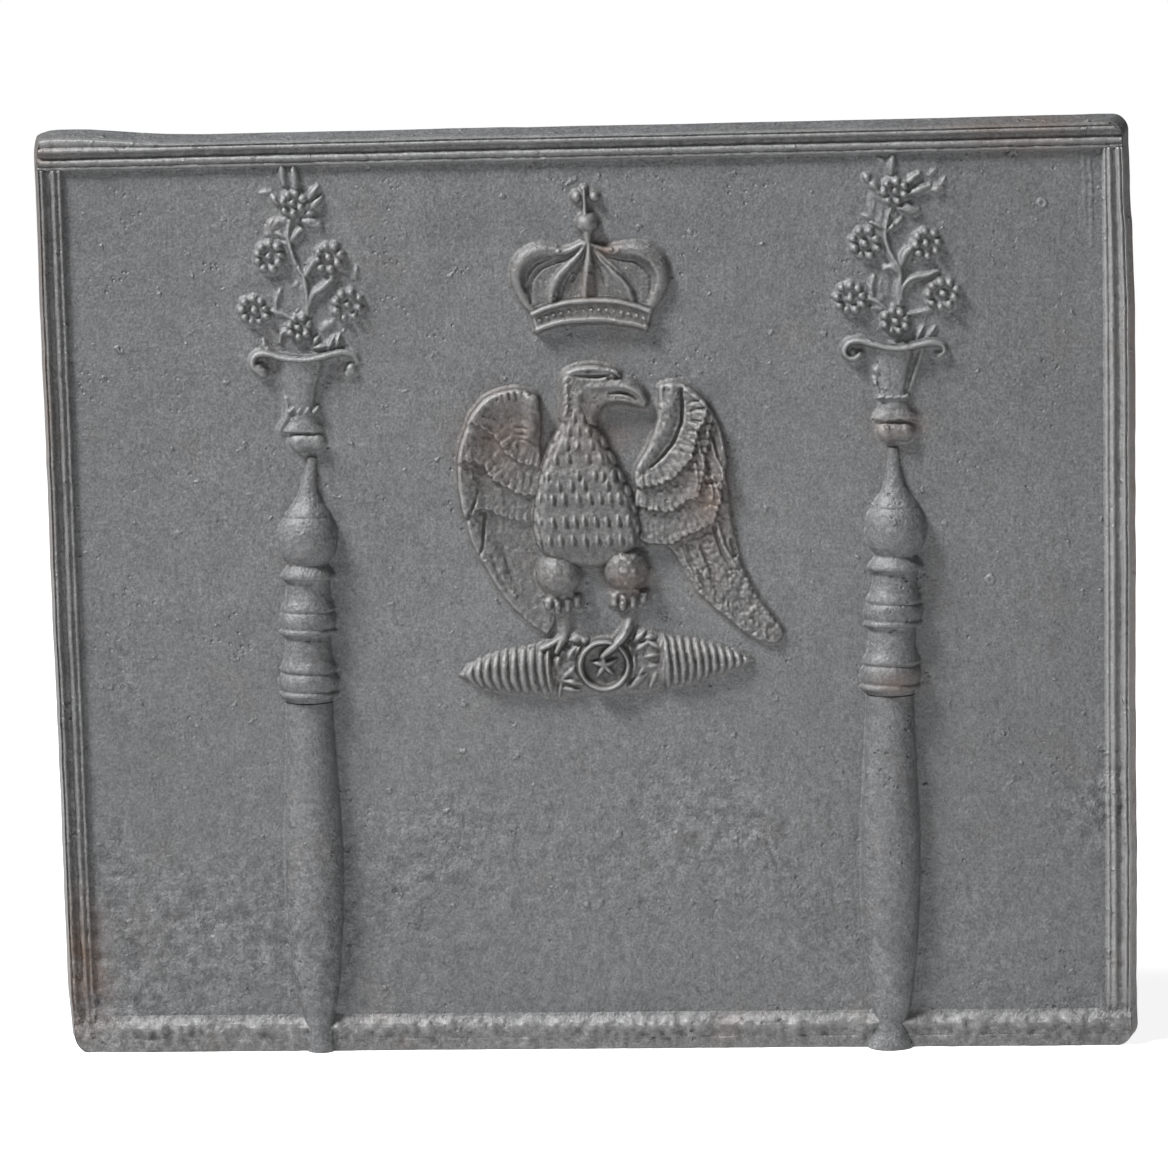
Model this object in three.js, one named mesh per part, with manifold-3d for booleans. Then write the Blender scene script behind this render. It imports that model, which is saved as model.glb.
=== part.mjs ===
// A cast-iron fireback: a heavy rectangular plate that stands upright at the back of a hearth, with a
// reeded moulding round its edge and raised ornament on its front: two turned pillars that carry
// flower baskets, a crown, and an eagle that stands on a thunderbolt.
// Millimetres, +Z up. The ornament faces -Y and the flat back faces +Y.
// The ornament is drawn in the frame of the plate's front face: x across, y up, z out of the face.

import * as THREE from 'three';
import { mergeVertices } from 'three/addons/utils/BufferGeometryUtils.js';
import Module from 'manifold-3d';

const wasm = await Module();
wasm.setup();

// ---- plate ----
const plateWidth = 600;
const plateHeight = 510;
const plateThickness = 14;
const draftAngle = 16.5; // degrees, so that the casting leaves the sand
const cornerRadius = 9;
const swellRise = 4.7; // the top edge was left proud near its left corner
const swellPeak = 22; // from the left side to the highest point of that swell
const swellLength = 95; // from the left side to where the top edge is straight again
const clearance = 0.3; // between ornaments that meet

// ---- moulding on the top and both sides, from the outer edge inwards ----
const edgeLipWidth = 5.4;
const quirkWidth = 1.3;
const ridgeWidth = 1.6;
const coveWidth = 3.9;
const beadWidth = 4;
const smallBeadWidth = 2.6;
const edgeLipRelief = 5;
const quirkDepth = 1.3;
const ridgeRelief = 5.3;
const coveFloor = 1.9;
const beadRelief = 3.7;
const smallBeadRelief = 2.8;
const mouldingWidth = edgeLipWidth + quirkWidth + ridgeWidth + coveWidth + beadWidth + smallBeadWidth;

// ---- plain lip along the bottom ----
const footLipWidth = 20;
const footLipCrest = 13; // from the bottom edge to the highest line of the lip
const footLipRelief = 3;
const footLipEdgeRelief = 1.2;

// ---- pillars: half turnings, flattened onto the plate ----
const leftPillarX = -156.2;
const rightPillarX = 162.4;
const leftPillarLean = -0.6; // degrees, clockwise from upright
const rightPillarLean = -1.15;
const leftFootRadius = 8;
const rightFootRadius = 12.8;
const footOverrun = 4; // drawn on past the plate's lower edge, then cut off flush with it
const pillarFlattening = 0.85;
const pillarSides = 16;
const ankleRadius = 8.2;
const ankleHeight = 17;
const calfRadius = 13.7;
const bellyRadius = 16.5;
const waistRadius = 13.7;
const shaftTopRadius = 12.6;
const lowCollarHeight = 15.5;
const lowCollarRadius = 16.2;
const lowScotiaHeight = 19.5;
const middleCollarHeight = 13.5;
const middleCollarRadius = 15.5;
const highScotiaHeight = 17;
const highCollarHeight = 7.8;
const highCollarRadius = 14.2;
const scotiaRadius = 12.6;
const ballRadius = 16;
const ballFlat = 1; // how much of the ball the collar under it hides
const ballTopAngle = 0.72; // where the neck leaves the ball, in radians above its middle
const neckShoulderRadius = 11.8;
const neckHeight = 33;
const neckTipRadius = 3;

// ---- flower basket, measured up from the tip of its knob ----
const leftBasketX = -152.5;
const rightBasketX = 169.2;
const leftBasketLean = 1.4; // degrees
const rightBasketLean = 0;
const basketFlattening = 0.62;
const knobRadius = 10.2;
const knobHeight = 13.6;
const knobTipRadius = 3.4;
const basketFootRadius = 12.7;
const basketFootHeight = 10;
const basketStemRadius = 6.4;
const basketBandHeight = 3.6;
const basketBandRadius = 8;
const basketBodyHeight = 24;
const basketBodyLowRadius = 7.2;
const basketBodyTopRadius = 14.8;
const basketFlutes = 12;
const fluteDepth = 0.9;
const rimHalfSpan = 25.5;
const rimThickness = 3.2;
const rimRelief = 10.4;
const rimEndRelief = 5;
const rimRise = 5.5; // how far the scrolls stand above the middle of the rim
const voluteRadius = 3.7;

// ---- bouquet ----
const flowerPetals = 8;
const petalRadius = 2.3;
const petalRing = 6.1; // radius of the circle through the petals' middles
const petalRelief = 3.1;
const flowerHeartRelief = 3.8;
const flowerDiscRelief = 1.5;
const stemWidth = 2.4;
const stemRelief = 1.9;
const leafLength = 9;
const leafWidth = 4.6;
const leafRelief = 2.6;
const sprayLength = 11; // of the leaf that stands straight up from the top flower
const bouquetGap = 2.4; // from that leaf to the moulding
const stemFork = [4, 98.5];
const stemBend = [-3, 110.5];
const flowerPlaces = {
  flower_top: [0, 139.8],
  flower_upper_left: [-15.4, 110.8],
  flower_upper_right: [17.4, 109.9],
  flower_lower_left: [-24.4, 81.5],
  flower_lower_right: [26.4, 83.3],
  flower_bottom: [-0.2, 70.6],
};

// ---- crown, measured from the middle of its lower edge ----
const crownX = 4.8;
const crownGap = 14.3; // from the cross to the moulding
const crownHalfSpan = 44.2;
const crownBandHalfWidth = 29.8;
const crownBandHeight = 10.8;
const crownBandRise = 4.2; // how far the band's middle stands above its ends
const crownBandRelief = 4.2;
const crownRimWidth = 2.8;
const crownRimInset = 0.4; // from the band's own edge
const crownRimRelief = 5.6;
const crownPearls = 13;
const pearlRadius = 1.7;
const pearlRelief = 6;
const archRelief = 6.2;
const archMeetingHeight = 46.5;
const archWidth = 9.5;
const crownLeafWidth = 12;
const orbRadius = 5.4;
const orbHeight = 56.2;
const orbRelief = 6.4;
const crossHeight = 20;
const crossSpan = 11.5;
const crossBarWidth = 3.6;
const crossRelief = 3.6;

// ---- eagle, measured from the middle of the thunderbolt ----
const eagleX = 0.7;
const eagleHeight = 168.5;
const eagleGap = 16.9; // from its head to the crown
const torsoHalfWidth = 30;
const torsoRelief = 10;
const torsoFoot = 62;
const torsoWidest = 82;
const neckLine = 146; // where the head joins the neck
const neckHalfWidth = 9.5;
const headRadius = 11.2;
const headRelief = 8.6;
const beakLength = 21;
const beakRelief = 6.4;
const thighRadius = 13.2;
const thighRelief = 8.4;
const shankWidth = 12;
const shankRelief = 5;
const clawWidth = 5.4;
const clawRelief = 9.2;
const wingSlabRelief = 1.6;
const wingEdgeWidth = 3.4;
const wingEdgeRelief = 3.4;
const shoulderRelief = 6;
const featherWidth = 5.4;
const featherStep = 0.75; // each lower row of feathers stands this much less proud
const topFeatherRelief = 5.2;

// ---- thunderbolt under the eagle ----
const boltX = 8;
const boltTilt = 2.4; // degrees
const boltHalfLength = 80;
const boltGirth = 15.6; // half its height at the middle
const boltFullness = 0.66; // how blunt the ends are
const boltFlattening = 0.44;
const boltRibs = 12;
const boltRibDepth = 0.13; // as a share of the radius there
const boltHeartHalfLength = 30; // the smooth part between the ribbed ends
const boltHeartFlattening = 0.26;
const boltHeartShare = 0.94; // its girth, as a share of the spindle's
const boltSides = 14;
const ringRadius = 13;
const ringWidth = 2.6;
const ringRelief = 6.2;
const ringShift = -1.7; // the ring's place on the bolt, from its middle
const starRadius = 7.6;
const starInset = 0.44;
const starRelief = 5.6;
const flameRelief = 5.8;
const flameWidth = 2.6;

// ---- worked out from the sizes above ----
const degree = Math.PI / 180;
const draft = Math.tan(draftAngle * degree);
const highestRelief = Math.max(bellyRadius, ballRadius, lowCollarRadius) * pillarFlattening;
const faceY = (plateThickness + highestRelief) / 2 - plateThickness;
const petalReach = petalRing + petalRadius;
const bouquetHeight = flowerPlaces.flower_top[1] + petalRing + sprayLength;
const basketBase = plateHeight - mouldingWidth - bouquetGap - bouquetHeight;
const ballTop = ballRadius * (1 + Math.sin(ballTopAngle)) - ballFlat;
const collarsHeight = lowCollarHeight + lowScotiaHeight + middleCollarHeight + highScotiaHeight + highCollarHeight;
const shaftHeight = basketBase - clearance - neckHeight - ballTop - collarsHeight - clearance;
const crownBase = plateHeight - mouldingWidth - crownGap - crossHeight - orbHeight;
const eagleBase = crownBase - eagleGap - eagleHeight;
const far = 2000; // longer than anything on the plate

// ------------------------------------------------------------------ solids

function solidOf(geometry) {
  const bare = geometry.clone();
  bare.deleteAttribute('normal');
  bare.deleteAttribute('uv');
  const welded = mergeVertices(bare, 1e-4);
  return new wasm.Manifold(new wasm.Mesh({
    numProp: 3,
    vertProperties: new Float32Array(welded.attributes.position.array),
    triVerts: new Uint32Array(welded.index.array),
  }));
}

// A solid as a geometry again. Its flat back is set exactly on the plate's face.
function geometryOf(solid) {
  const mesh = solid.getMesh();
  const places = new Float32Array(mesh.vertProperties);
  for (let i = 2; i < places.length; i += 3) {
    if (Math.abs(places[i]) < 1e-3) {
      places[i] = 0;
    }
  }
  const geometry = new THREE.BufferGeometry();
  geometry.setAttribute('position', new THREE.BufferAttribute(places, 3));
  geometry.setIndex(Array.from(mesh.triVerts));
  geometry.computeVertexNormals();
  return geometry;
}

function join(geometries) {
  return geometries.map(solidOf).reduce((all, next) => all.add(next));
}

function block(minimum, maximum) {
  const size = maximum.map((value, axis) => value - minimum[axis]);
  const box = new THREE.BoxGeometry(...size);
  return box.translate(...minimum.map((value, axis) => value + size[axis] / 2));
}

const aboveFace = solidOf(block([-far, -far, 0], [far, far, far]));

// Rings of points, one after another along the piece, skinned and closed with a fan at each end.
// To someone who looks along the piece, each ring runs counter-clockwise.
function skin(rings) {
  const count = rings[0].length;
  const places = rings.flat().flatMap((point) => [point.x, point.y, point.z]);
  const faces = [];
  for (let ring = 0; ring + 1 < rings.length; ring += 1) {
    for (let side = 0; side < count; side += 1) {
      const next = (side + 1) % count;
      const here = ring * count;
      const there = here + count;
      faces.push(here + side, there + side, here + next);
      faces.push(here + next, there + side, there + next);
    }
  }
  const last = (rings.length - 1) * count;
  for (let side = 1; side + 1 < count; side += 1) {
    faces.push(0, side, side + 1);
    faces.push(last, last + side + 1, last + side);
  }
  const geometry = new THREE.BufferGeometry();
  geometry.setAttribute('position', new THREE.Float32BufferAttribute(places, 3));
  geometry.setIndex(faces);
  return geometry;
}

// A number that follows a list of stations evenly spread along a curve.
function along(stations, t) {
  const place = t * (stations.length - 1);
  const index = Math.min(Math.floor(place), stations.length - 2);
  return THREE.MathUtils.lerp(stations[index], stations[index + 1], place - index);
}

// A round-backed ridge that lies on the face and follows points; its widths and reliefs are
// stations spread along it. A depth sinks its back below the face, for a room cut in another piece.
function ridge({ points, widths, reliefs, steps = 8, sides = 4, depth = 0 }) {
  const path = new THREE.SplineCurve(points.map(([x, y]) => new THREE.Vector2(x, y)));
  const rings = [];
  for (let step = 0; step <= steps; step += 1) {
    const t = step / steps;
    const middle = path.getPoint(t);
    const heading = path.getTangent(t);
    const half = along(widths, t) / 2;
    const relief = along(reliefs, t);
    const ring = [];
    for (let side = 0; side <= sides; side += 1) {
      const turn = (Math.PI * side) / sides;
      const reach = half * Math.cos(turn);
      const height = side === 0 || side === sides ? -depth : relief * Math.sin(turn);
      ring.push(new THREE.Vector3(middle.x + heading.y * reach, middle.y - heading.x * reach, height));
    }
    rings.push(ring);
  }
  return skin(rings);
}

// A low dome on the face.
function dome(x, y, radius, relief, sides = 12, rings = 3, depth = 0) {
  const profile = [new THREE.Vector2(0, -depth), new THREE.Vector2(radius, -depth)];
  for (let ring = rings - 1; ring >= 0; ring -= 1) {
    const turn = (Math.PI / 2) * (ring / rings);
    profile.push(new THREE.Vector2(radius * Math.sin(turn), relief * Math.cos(turn)));
  }
  return new THREE.LatheGeometry(profile, sides).rotateX(Math.PI / 2).translate(x, y, 0);
}

// A turning flattened onto the face. The profile is radius against height.
function wholeTurning(profile, flattening, sides) {
  const points = profile.map(([radius, height]) => new THREE.Vector2(radius, height));
  points.unshift(new THREE.Vector2(0, profile[0][1]));
  points.push(new THREE.Vector2(0, profile[profile.length - 1][1]));
  return solidOf(new THREE.LatheGeometry(points, sides).scale(1, 1, flattening));
}

// The half of it that stands out of the face.
function turning(profile, flattening, sides) {
  return wholeTurning(profile, flattening, sides).intersect(aboveFace);
}

function slab(shape, relief, curveSegments = 6) {
  return new THREE.ExtrudeGeometry(shape, { depth: relief, bevelEnabled: false, curveSegments });
}

// ------------------------------------------------------------------ plate and border

// The plate's outline at this height above the front face: the draft draws in its top and sides,
// and its lower edge stays square to stand on.
function outlineAt(height) {
  const inset = (plateThickness + height) * draft;
  const right = plateWidth / 2 - inset;
  const top = plateHeight - inset;
  const crest = top + swellRise;
  const swellStart = swellLength - right;
  const swellTop = swellPeak - right;
  const swellMiddle = (swellStart + swellTop) / 2;
  const shape = new THREE.Shape();
  shape.moveTo(right - cornerRadius, 0);
  shape.absarc(right - cornerRadius, cornerRadius, cornerRadius, -Math.PI / 2, 0);
  shape.absarc(right - cornerRadius, top - cornerRadius, cornerRadius, 0, Math.PI / 2);
  shape.lineTo(swellStart, top);
  shape.bezierCurveTo(swellMiddle, top, swellMiddle, crest, swellTop, crest);
  shape.bezierCurveTo(swellTop - swellPeak / 2, crest, -right, top, -right, top - cornerRadius);
  shape.absarc(cornerRadius - right, cornerRadius, cornerRadius, Math.PI, Math.PI * 1.5);
  const loop = shape.getPoints(4).map((point) => new THREE.Vector3(point.x, point.y, height));
  const closed = loop[0].distanceTo(loop[loop.length - 1]) < 1e-6;
  return (closed ? loop.slice(0, -1) : loop).reverse();
}

// Everything that leaves the sand with the plate's sloping sides lies in here.
function draftedBlock(top) {
  return skin([outlineAt(-plateThickness), outlineAt(top)]);
}

function plate() {
  return draftedBlock(0);
}

// Points of a round bead on a moulding's profile.
function beadPoints(from, width, floor, crest, steps = 5) {
  const points = [];
  for (let step = 0; step <= steps; step += 1) {
    const t = step / steps;
    points.push([from + width * t, floor + (crest - floor) * Math.sin(Math.PI * t)]);
  }
  return points;
}

function covePoints(from, width, crest, floor, steps = 4) {
  const points = [];
  for (let step = 0; step <= steps; step += 1) {
    const t = step / steps;
    points.push([from + width * t, floor + (crest - floor) * (1 - Math.sin((Math.PI / 2) * t))]);
  }
  return points;
}

// The border's profile. The overrun carries its outer lip on past the straight edge.
function mouldingProfile(overrun = 0) {
  const ridgeStart = edgeLipWidth + quirkWidth;
  const coveStart = ridgeStart + ridgeWidth;
  const beadStart = coveStart + coveWidth;
  const smallBeadStart = beadStart + beadWidth;
  return new THREE.Shape([
    [-overrun, 0],
    [mouldingWidth, 0],
    ...beadPoints(smallBeadStart, smallBeadWidth * 0.85, coveFloor, smallBeadRelief, 4).reverse(),
    ...beadPoints(beadStart, beadWidth, coveFloor, beadRelief).reverse().slice(1),
    ...covePoints(coveStart, coveWidth, ridgeRelief, coveFloor).reverse().slice(1),
    [ridgeStart, ridgeRelief],
    [edgeLipWidth + quirkWidth / 2, edgeLipRelief - quirkDepth],
    [edgeLipWidth, edgeLipRelief],
    [-overrun, edgeLipRelief],
  ].map(([x, y]) => new THREE.Vector2(x, y)));
}

function footLipProfile(margin) {
  const slope = covePoints(footLipCrest, footLipWidth - footLipCrest, footLipRelief, 0);
  return new THREE.Shape([
    [0, 0],
    [footLipWidth + margin, 0],
    ...slope.map(([x, y]) => [x + margin, y + margin]).reverse(),
    [0, footLipEdgeRelief + margin],
  ].map(([x, y]) => new THREE.Vector2(x, y)));
}

// Runs a profile along an edge of the plate: inwards is the way from the edge to the field.
function runMoulding(profile, from, inwards, length) {
  const outOfFace = new THREE.Vector3(0, 0, 1);
  const way = inwards.clone().cross(outOfFace);
  const frame = new THREE.Matrix4().makeBasis(inwards, outOfFace, way).setPosition(from);
  return new THREE.ExtrudeGeometry(profile, { depth: length, bevelEnabled: false }).applyMatrix4(frame);
}

function borderPieces() {
  const castingSides = solidOf(draftedBlock(2 * ridgeRelief));
  const half = plateWidth / 2;
  const sideTop = plateHeight - mouldingWidth;
  const sideLength = sideTop - footLipWidth;
  const runs = {
    border_top: [mouldingProfile(swellRise), [half, plateHeight], [0, -1], plateWidth],
    border_left: [mouldingProfile(), [-half, sideTop], [1, 0], sideLength],
    border_right: [mouldingProfile(), [half, footLipWidth], [-1, 0], sideLength],
    border_bottom: [footLipProfile(0), [-half, 0], [0, 1], plateWidth],
  };
  return Object.entries(runs).map(([name, [profile, from, inwards, length]]) => {
    const run = runMoulding(profile, new THREE.Vector3(...from, 0), new THREE.Vector3(...inwards, 0), length);
    return [name, geometryOf(solidOf(run).intersect(castingSides))];
  });
}

// ------------------------------------------------------------------ pillars

// A collar on the profile: a thin ring, a fat torus and a thin ring.
function collarPoints(base, height, radius) {
  const ring = height * 0.16;
  const inner = radius - 1.6;
  const torus = beadPoints(base + ring, height - 2 * ring, inner, radius, 4);
  return [
    [radius - 0.6, base],
    [radius - 0.6, base + ring * 0.8],
    ...torus.map(([y, x]) => [x, y]),
    [radius - 0.8, base + height - ring * 0.8],
    [radius - 0.8, base + height],
  ];
}

// The hollow between two collars, widening towards the lower one.
function scotiaPoints(base, height, lowRadius) {
  const points = [];
  const steps = 3;
  for (let step = 0; step <= steps; step += 1) {
    const t = step / steps;
    points.push([scotiaRadius + (lowRadius - 1.8 - scotiaRadius) * (1 - t) ** 3, base + height * t]);
  }
  return points;
}

function ballPoints(base) {
  const points = [];
  const start = Math.asin(1 - ballFlat / ballRadius);
  const steps = 7;
  for (let step = 0; step <= steps; step += 1) {
    const turn = -start + ((start + ballTopAngle) * step) / steps;
    points.push([ballRadius * Math.cos(turn), base + ballRadius - ballFlat + ballRadius * Math.sin(turn)]);
  }
  return points;
}

// The neck draws in from the ball and ends just under the knob of the basket.
function neckPoints(base) {
  const points = [];
  const height = basketBase - clearance - base;
  const steps = 5;
  for (let step = 0; step <= steps; step += 1) {
    const t = step / steps;
    points.push([neckTipRadius + (neckShoulderRadius - neckTipRadius) * (1 - t) ** 2.2, base + height * t]);
  }
  return points;
}

function pillarHead() {
  const base = shaftHeight + clearance;
  const lowScotia = base + lowCollarHeight;
  const middleCollar = lowScotia + lowScotiaHeight;
  const highScotia = middleCollar + middleCollarHeight;
  const highCollar = highScotia + highScotiaHeight;
  const ball = highCollar + highCollarHeight;
  const ballProfile = ballPoints(ball);
  const shoulder = ballProfile[ballProfile.length - 1][1];
  return turning([
    ...collarPoints(base, lowCollarHeight, lowCollarRadius),
    ...scotiaPoints(lowScotia, lowScotiaHeight, lowCollarRadius),
    ...collarPoints(middleCollar, middleCollarHeight, middleCollarRadius),
    ...scotiaPoints(highScotia, highScotiaHeight, middleCollarRadius),
    [highCollarRadius, highCollar],
    [highCollarRadius, highCollar + highCollarHeight * 0.45],
    [highCollarRadius - 2.4, ball],
    ...ballProfile,
    ...neckPoints(shoulder + 1),
  ], pillarFlattening, pillarSides);
}

function pillarShaft(footRadius, toPillar) {
  const stations = [
    [footRadius, -footOverrun],
    [footRadius, 3],
    [ankleRadius, ankleHeight],
    [calfRadius, shaftHeight * 0.245],
    [bellyRadius, shaftHeight * 0.485],
    [waistRadius, shaftHeight * 0.79],
    [shaftTopRadius, shaftHeight],
  ];
  const curve = new THREE.SplineCurve(stations.map(([x, y]) => new THREE.Vector2(x, y)));
  const profile = curve.getPoints(14).map((point) => [point.x, Math.min(point.y, shaftHeight)]);
  const footLip = runMoulding(footLipProfile(clearance), new THREE.Vector3(-far / 2, 0, 0),
    new THREE.Vector3(0, 1, 0), far);
  const sides = skin([outlineAt(-plateThickness), outlineAt(highestRelief + 1)]);
  return turning(profile, pillarFlattening, pillarSides)
    .subtract(solidOf(footLip.applyMatrix4(toPillar)))
    .intersect(solidOf(sides.applyMatrix4(toPillar)));
}

// ------------------------------------------------------------------ flower basket

function knob() {
  const profile = [[knobTipRadius, 0]];
  const steps = 5;
  for (let step = 1; step <= steps; step += 1) {
    const t = step / steps;
    const swell = Math.sin(Math.PI * (0.12 + 0.72 * t)) ** 0.8;
    profile.push([knobTipRadius + (knobRadius - knobTipRadius) * swell, knobHeight * t]);
  }
  return turning(profile, basketFlattening, pillarSides);
}

// The foot, the beaded band and the fluted cup, which widens in a curve to the rim.
function basketBody() {
  const foot = knobHeight + clearance;
  const band = foot + basketFootHeight;
  const cup = band + basketBandHeight;
  const levels = [
    ...covePoints(foot, basketFootHeight, basketFootRadius, basketStemRadius, 3).map(([y, x]) => [x, y, 0]),
    ...beadPoints(band, basketBandHeight, basketStemRadius, basketBandRadius, 3).map(([y, x]) => [x, y, 0]),
  ];
  const steps = 4;
  for (let step = 0; step <= steps; step += 1) {
    const t = step / steps;
    const radius = basketBodyLowRadius + (basketBodyTopRadius - basketBodyLowRadius) * t ** 1.3;
    levels.push([radius, cup + basketBodyHeight * t, fluteDepth * (0.5 + 0.5 * t)]);
  }
  const sides = basketFlutes * 2;
  const rings = levels.map(([radius, height, flute]) => {
    const ring = [];
    for (let side = 0; side < sides; side += 1) {
      const turn = (2 * Math.PI * side) / sides;
      const reach = radius - flute * (0.5 - 0.5 * Math.cos(turn * basketFlutes));
      ring.push(new THREE.Vector3(reach * Math.cos(turn), height, reach * Math.sin(turn) * basketFlattening));
    }
    return ring;
  });
  return solidOf(skin(rings)).intersect(aboveFace);
}

const cupTop = knobHeight + clearance + basketFootHeight + basketBandHeight + basketBodyHeight;

// The scrolled rim: it dips in the middle, rises to each side and curls under into a volute.
function basketRim() {
  const middle = cupTop + clearance + rimThickness / 2;
  const volute = middle + rimRise - voluteRadius;
  const half = [[rimHalfSpan * 0.3, middle + rimRise * 0.1], [rimHalfSpan * 0.62, middle + rimRise * 0.72],
    [rimHalfSpan * 0.86, middle + rimRise]];
  for (let step = 1; step <= 7; step += 1) {
    const turn = Math.PI / 2 - step * 0.6;
    const radius = voluteRadius * (1 - 0.07 * step);
    half.push([rimHalfSpan + radius * Math.cos(turn), volute + radius * Math.sin(turn)]);
  }
  const mirrored = half.map(([x, y]) => [-x, y]).reverse();
  return solidOf(ridge({
    points: [...mirrored, [0, middle], ...half],
    widths: [2, rimThickness, rimThickness, rimThickness, rimThickness, rimThickness, 2],
    reliefs: [rimEndRelief, rimEndRelief, rimEndRelief * 1.4, rimRelief, rimEndRelief * 1.4, rimEndRelief,
      rimEndRelief],
    steps: 32,
    sides: 3,
  }));
}

// ------------------------------------------------------------------ bouquet

// A round flower: beaded petals stand round a small heart. Its surface is a stack of rings whose
// points lie on the petals and between them by turns.
function flower() {
  const rings = [
    { reach: petalReach * 0.97, gap: petalReach * 0.85, height: 0, dip: 0 },
    { reach: petalReach, gap: petalReach * 0.84, height: petalRelief * 0.55, dip: flowerDiscRelief * 0.6 },
    { reach: petalRing, gap: petalRing, height: petalRelief, dip: flowerDiscRelief },
    { reach: petalRadius * 1.4, gap: petalRadius * 1.4, height: flowerDiscRelief, dip: flowerDiscRelief },
    { reach: petalRadius, gap: petalRadius, height: flowerHeartRelief * 0.75, dip: flowerHeartRelief * 0.75 },
    { reach: petalRadius * 0.4, gap: petalRadius * 0.4, height: flowerHeartRelief, dip: flowerHeartRelief },
  ];
  return solidOf(skin(rings.map(({ reach, gap, height, dip }) => (
    Array.from({ length: flowerPetals * 2 }, (_, index) => {
      const turn = (-Math.PI * index) / flowerPetals;
      const radius = index % 2 === 0 ? reach : gap;
      const z = index % 2 === 0 ? height : dip;
      return new THREE.Vector3(radius * Math.cos(turn), radius * Math.sin(turn), z);
    })
  ))));
}

// A pointed leaf from a root at an angle in degrees.
function leaf([x, y], angle, length, width = leafWidth) {
  const reach = (share) => [x + length * share * Math.cos(angle * degree), y + length * share * Math.sin(angle * degree)];
  return ridge({
    points: [reach(0), reach(0.5), reach(1)],
    widths: [width * 0.4, width, width * 0.8, 0.5],
    reliefs: [leafRelief * 0.7, leafRelief, leafRelief, 0.6],
    steps: 3,
    sides: 2,
  });
}

// The top flower has leaves all round it, from just inside its petals.
function topSpray() {
  const leaves = [[100, 1], [78, 1.1], [165, 1.1], [38, 1.25], [12, 1.5], [-38, 1.1], [205, 0.9]];
  return leaves.reduce((spray, [angle, share]) => {
    const root = [petalRing * 0.9 * Math.cos(angle * degree), petalRing * 0.9 * Math.sin(angle * degree)];
    return spray.add(solidOf(leaf(root, angle, sprayLength * share)));
  }, flower());
}

function between([ax, ay], [bx, by], share) {
  return [ax + (bx - ax) * share, ay + (by - ay) * share];
}

// Two points with a third between them that stands off their line by a share of their distance.
function bowed(start, end, bow) {
  const [x, y] = between(start, end, 0.5);
  return [start, [x - (end[1] - start[1]) * bow, y + (end[0] - start[0]) * bow], end];
}

function twig(points) {
  return ridge({ points, widths: [stemWidth, stemWidth * 0.8], reliefs: [stemRelief, stemRelief], steps: 4, sides: 2 });
}

// The stem climbs from behind the bottom flower and bends left and right; twigs leave it for the
// flowers. It is cut back from the flowers by the clearance.
function stems() {
  const [bottomX, bottomY] = flowerPlaces.flower_bottom;
  const [topX, topY] = flowerPlaces.flower_top;
  const [lowRightX, lowRightY] = flowerPlaces.flower_lower_right;
  const root = [bottomX + petalRing * 0.5, bottomY + petalReach - stemWidth / 2];
  const crotch = [bottomX + petalReach * 0.55, bottomY + petalReach * 1.36];
  const upper = [topX - stemWidth * 0.8, between(stemBend, [topX, topY], 0.42)[1]];
  const highTwig = bowed(crotch, [lowRightX - petalRing * 0.5, lowRightY + petalReach * 1.4], 0.16);
  const lowTwig = bowed(crotch, [lowRightX - petalRing * 0.65, lowRightY - petalRing * 0.65], -0.08);
  const leftTwig = bowed(crotch, flowerPlaces.flower_lower_left, 0.11);
  const thin = leafWidth * 0.8;
  const tree = join([
    ridge({
      points: [root, stemFork, stemBend, upper, [topX, topY - petalReach]],
      widths: [stemWidth * 1.4, stemWidth],
      reliefs: [stemRelief * 1.3, stemRelief],
      steps: 9,
      sides: 2,
    }),
    twig([stemFork, flowerPlaces.flower_upper_right]),
    twig([stemBend, flowerPlaces.flower_upper_left]),
    twig(highTwig),
    twig(lowTwig),
    twig(leftTwig),
    leaf(between(stemFork, root, 0.1), 160, leafLength),
    leaf(between(stemBend, upper, 0.4), 40, leafLength * 1.2, thin),
    leaf(between(stemBend, upper, 0.6), 150, leafLength),
    leaf(leftTwig[1], 108, leafLength * 1.1, thin),
    leaf(highTwig[1], 20, leafLength, thin),
  ]);
  const rooms = Object.values(flowerPlaces).map(([x, y]) => {
    const room = [[petalReach + clearance, -1], [petalReach + clearance, 2 * petalRelief]];
    const points = [new THREE.Vector2(0, -1), ...room.map(([r, h]) => new THREE.Vector2(r, h)),
      new THREE.Vector2(0, 2 * petalRelief)];
    return new THREE.LatheGeometry(points, 16).rotateX(Math.PI / 2).translate(x, y, 0);
  });
  return tree.subtract(join(rooms));
}

// ------------------------------------------------------------------ crown

// A point on the crown's curved band: across from -1 to 1, and up from its lower edge.
function bandPoint(across, up) {
  return [crownBandHalfWidth * across * (1 + (0.06 * up) / crownBandHeight), up + crownBandRise * (1 - across ** 2)];
}

function bandLine(up, count) {
  return Array.from({ length: count }, (_, index) => bandPoint(-1 + (2 * index) / (count - 1), up));
}

function bandPlate() {
  const outline = [...bandLine(0, 9), ...bandLine(crownBandHeight, 9).reverse()];
  return slab(new THREE.Shape(outline.map(([x, y]) => new THREE.Vector2(x, y))), crownBandRelief);
}

// All that lies below the band's upper edge, where no arch may reach.
function belowBandTop() {
  const edge = bandLine(crownBandHeight + clearance, 9);
  const outline = [[-far, edge[0][1]], ...edge, [far, edge[0][1]], [far, -far], [-far, -far]];
  return slab(new THREE.Shape(outline.map(([x, y]) => new THREE.Vector2(x, y))), far).translate(0, 0, -1);
}

function crownRim(up) {
  return ridge({
    points: bandLine(up, 5),
    widths: [crownRimWidth, crownRimWidth],
    reliefs: [crownRimRelief, crownRimRelief],
    steps: 8,
    sides: 4,
  });
}

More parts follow.
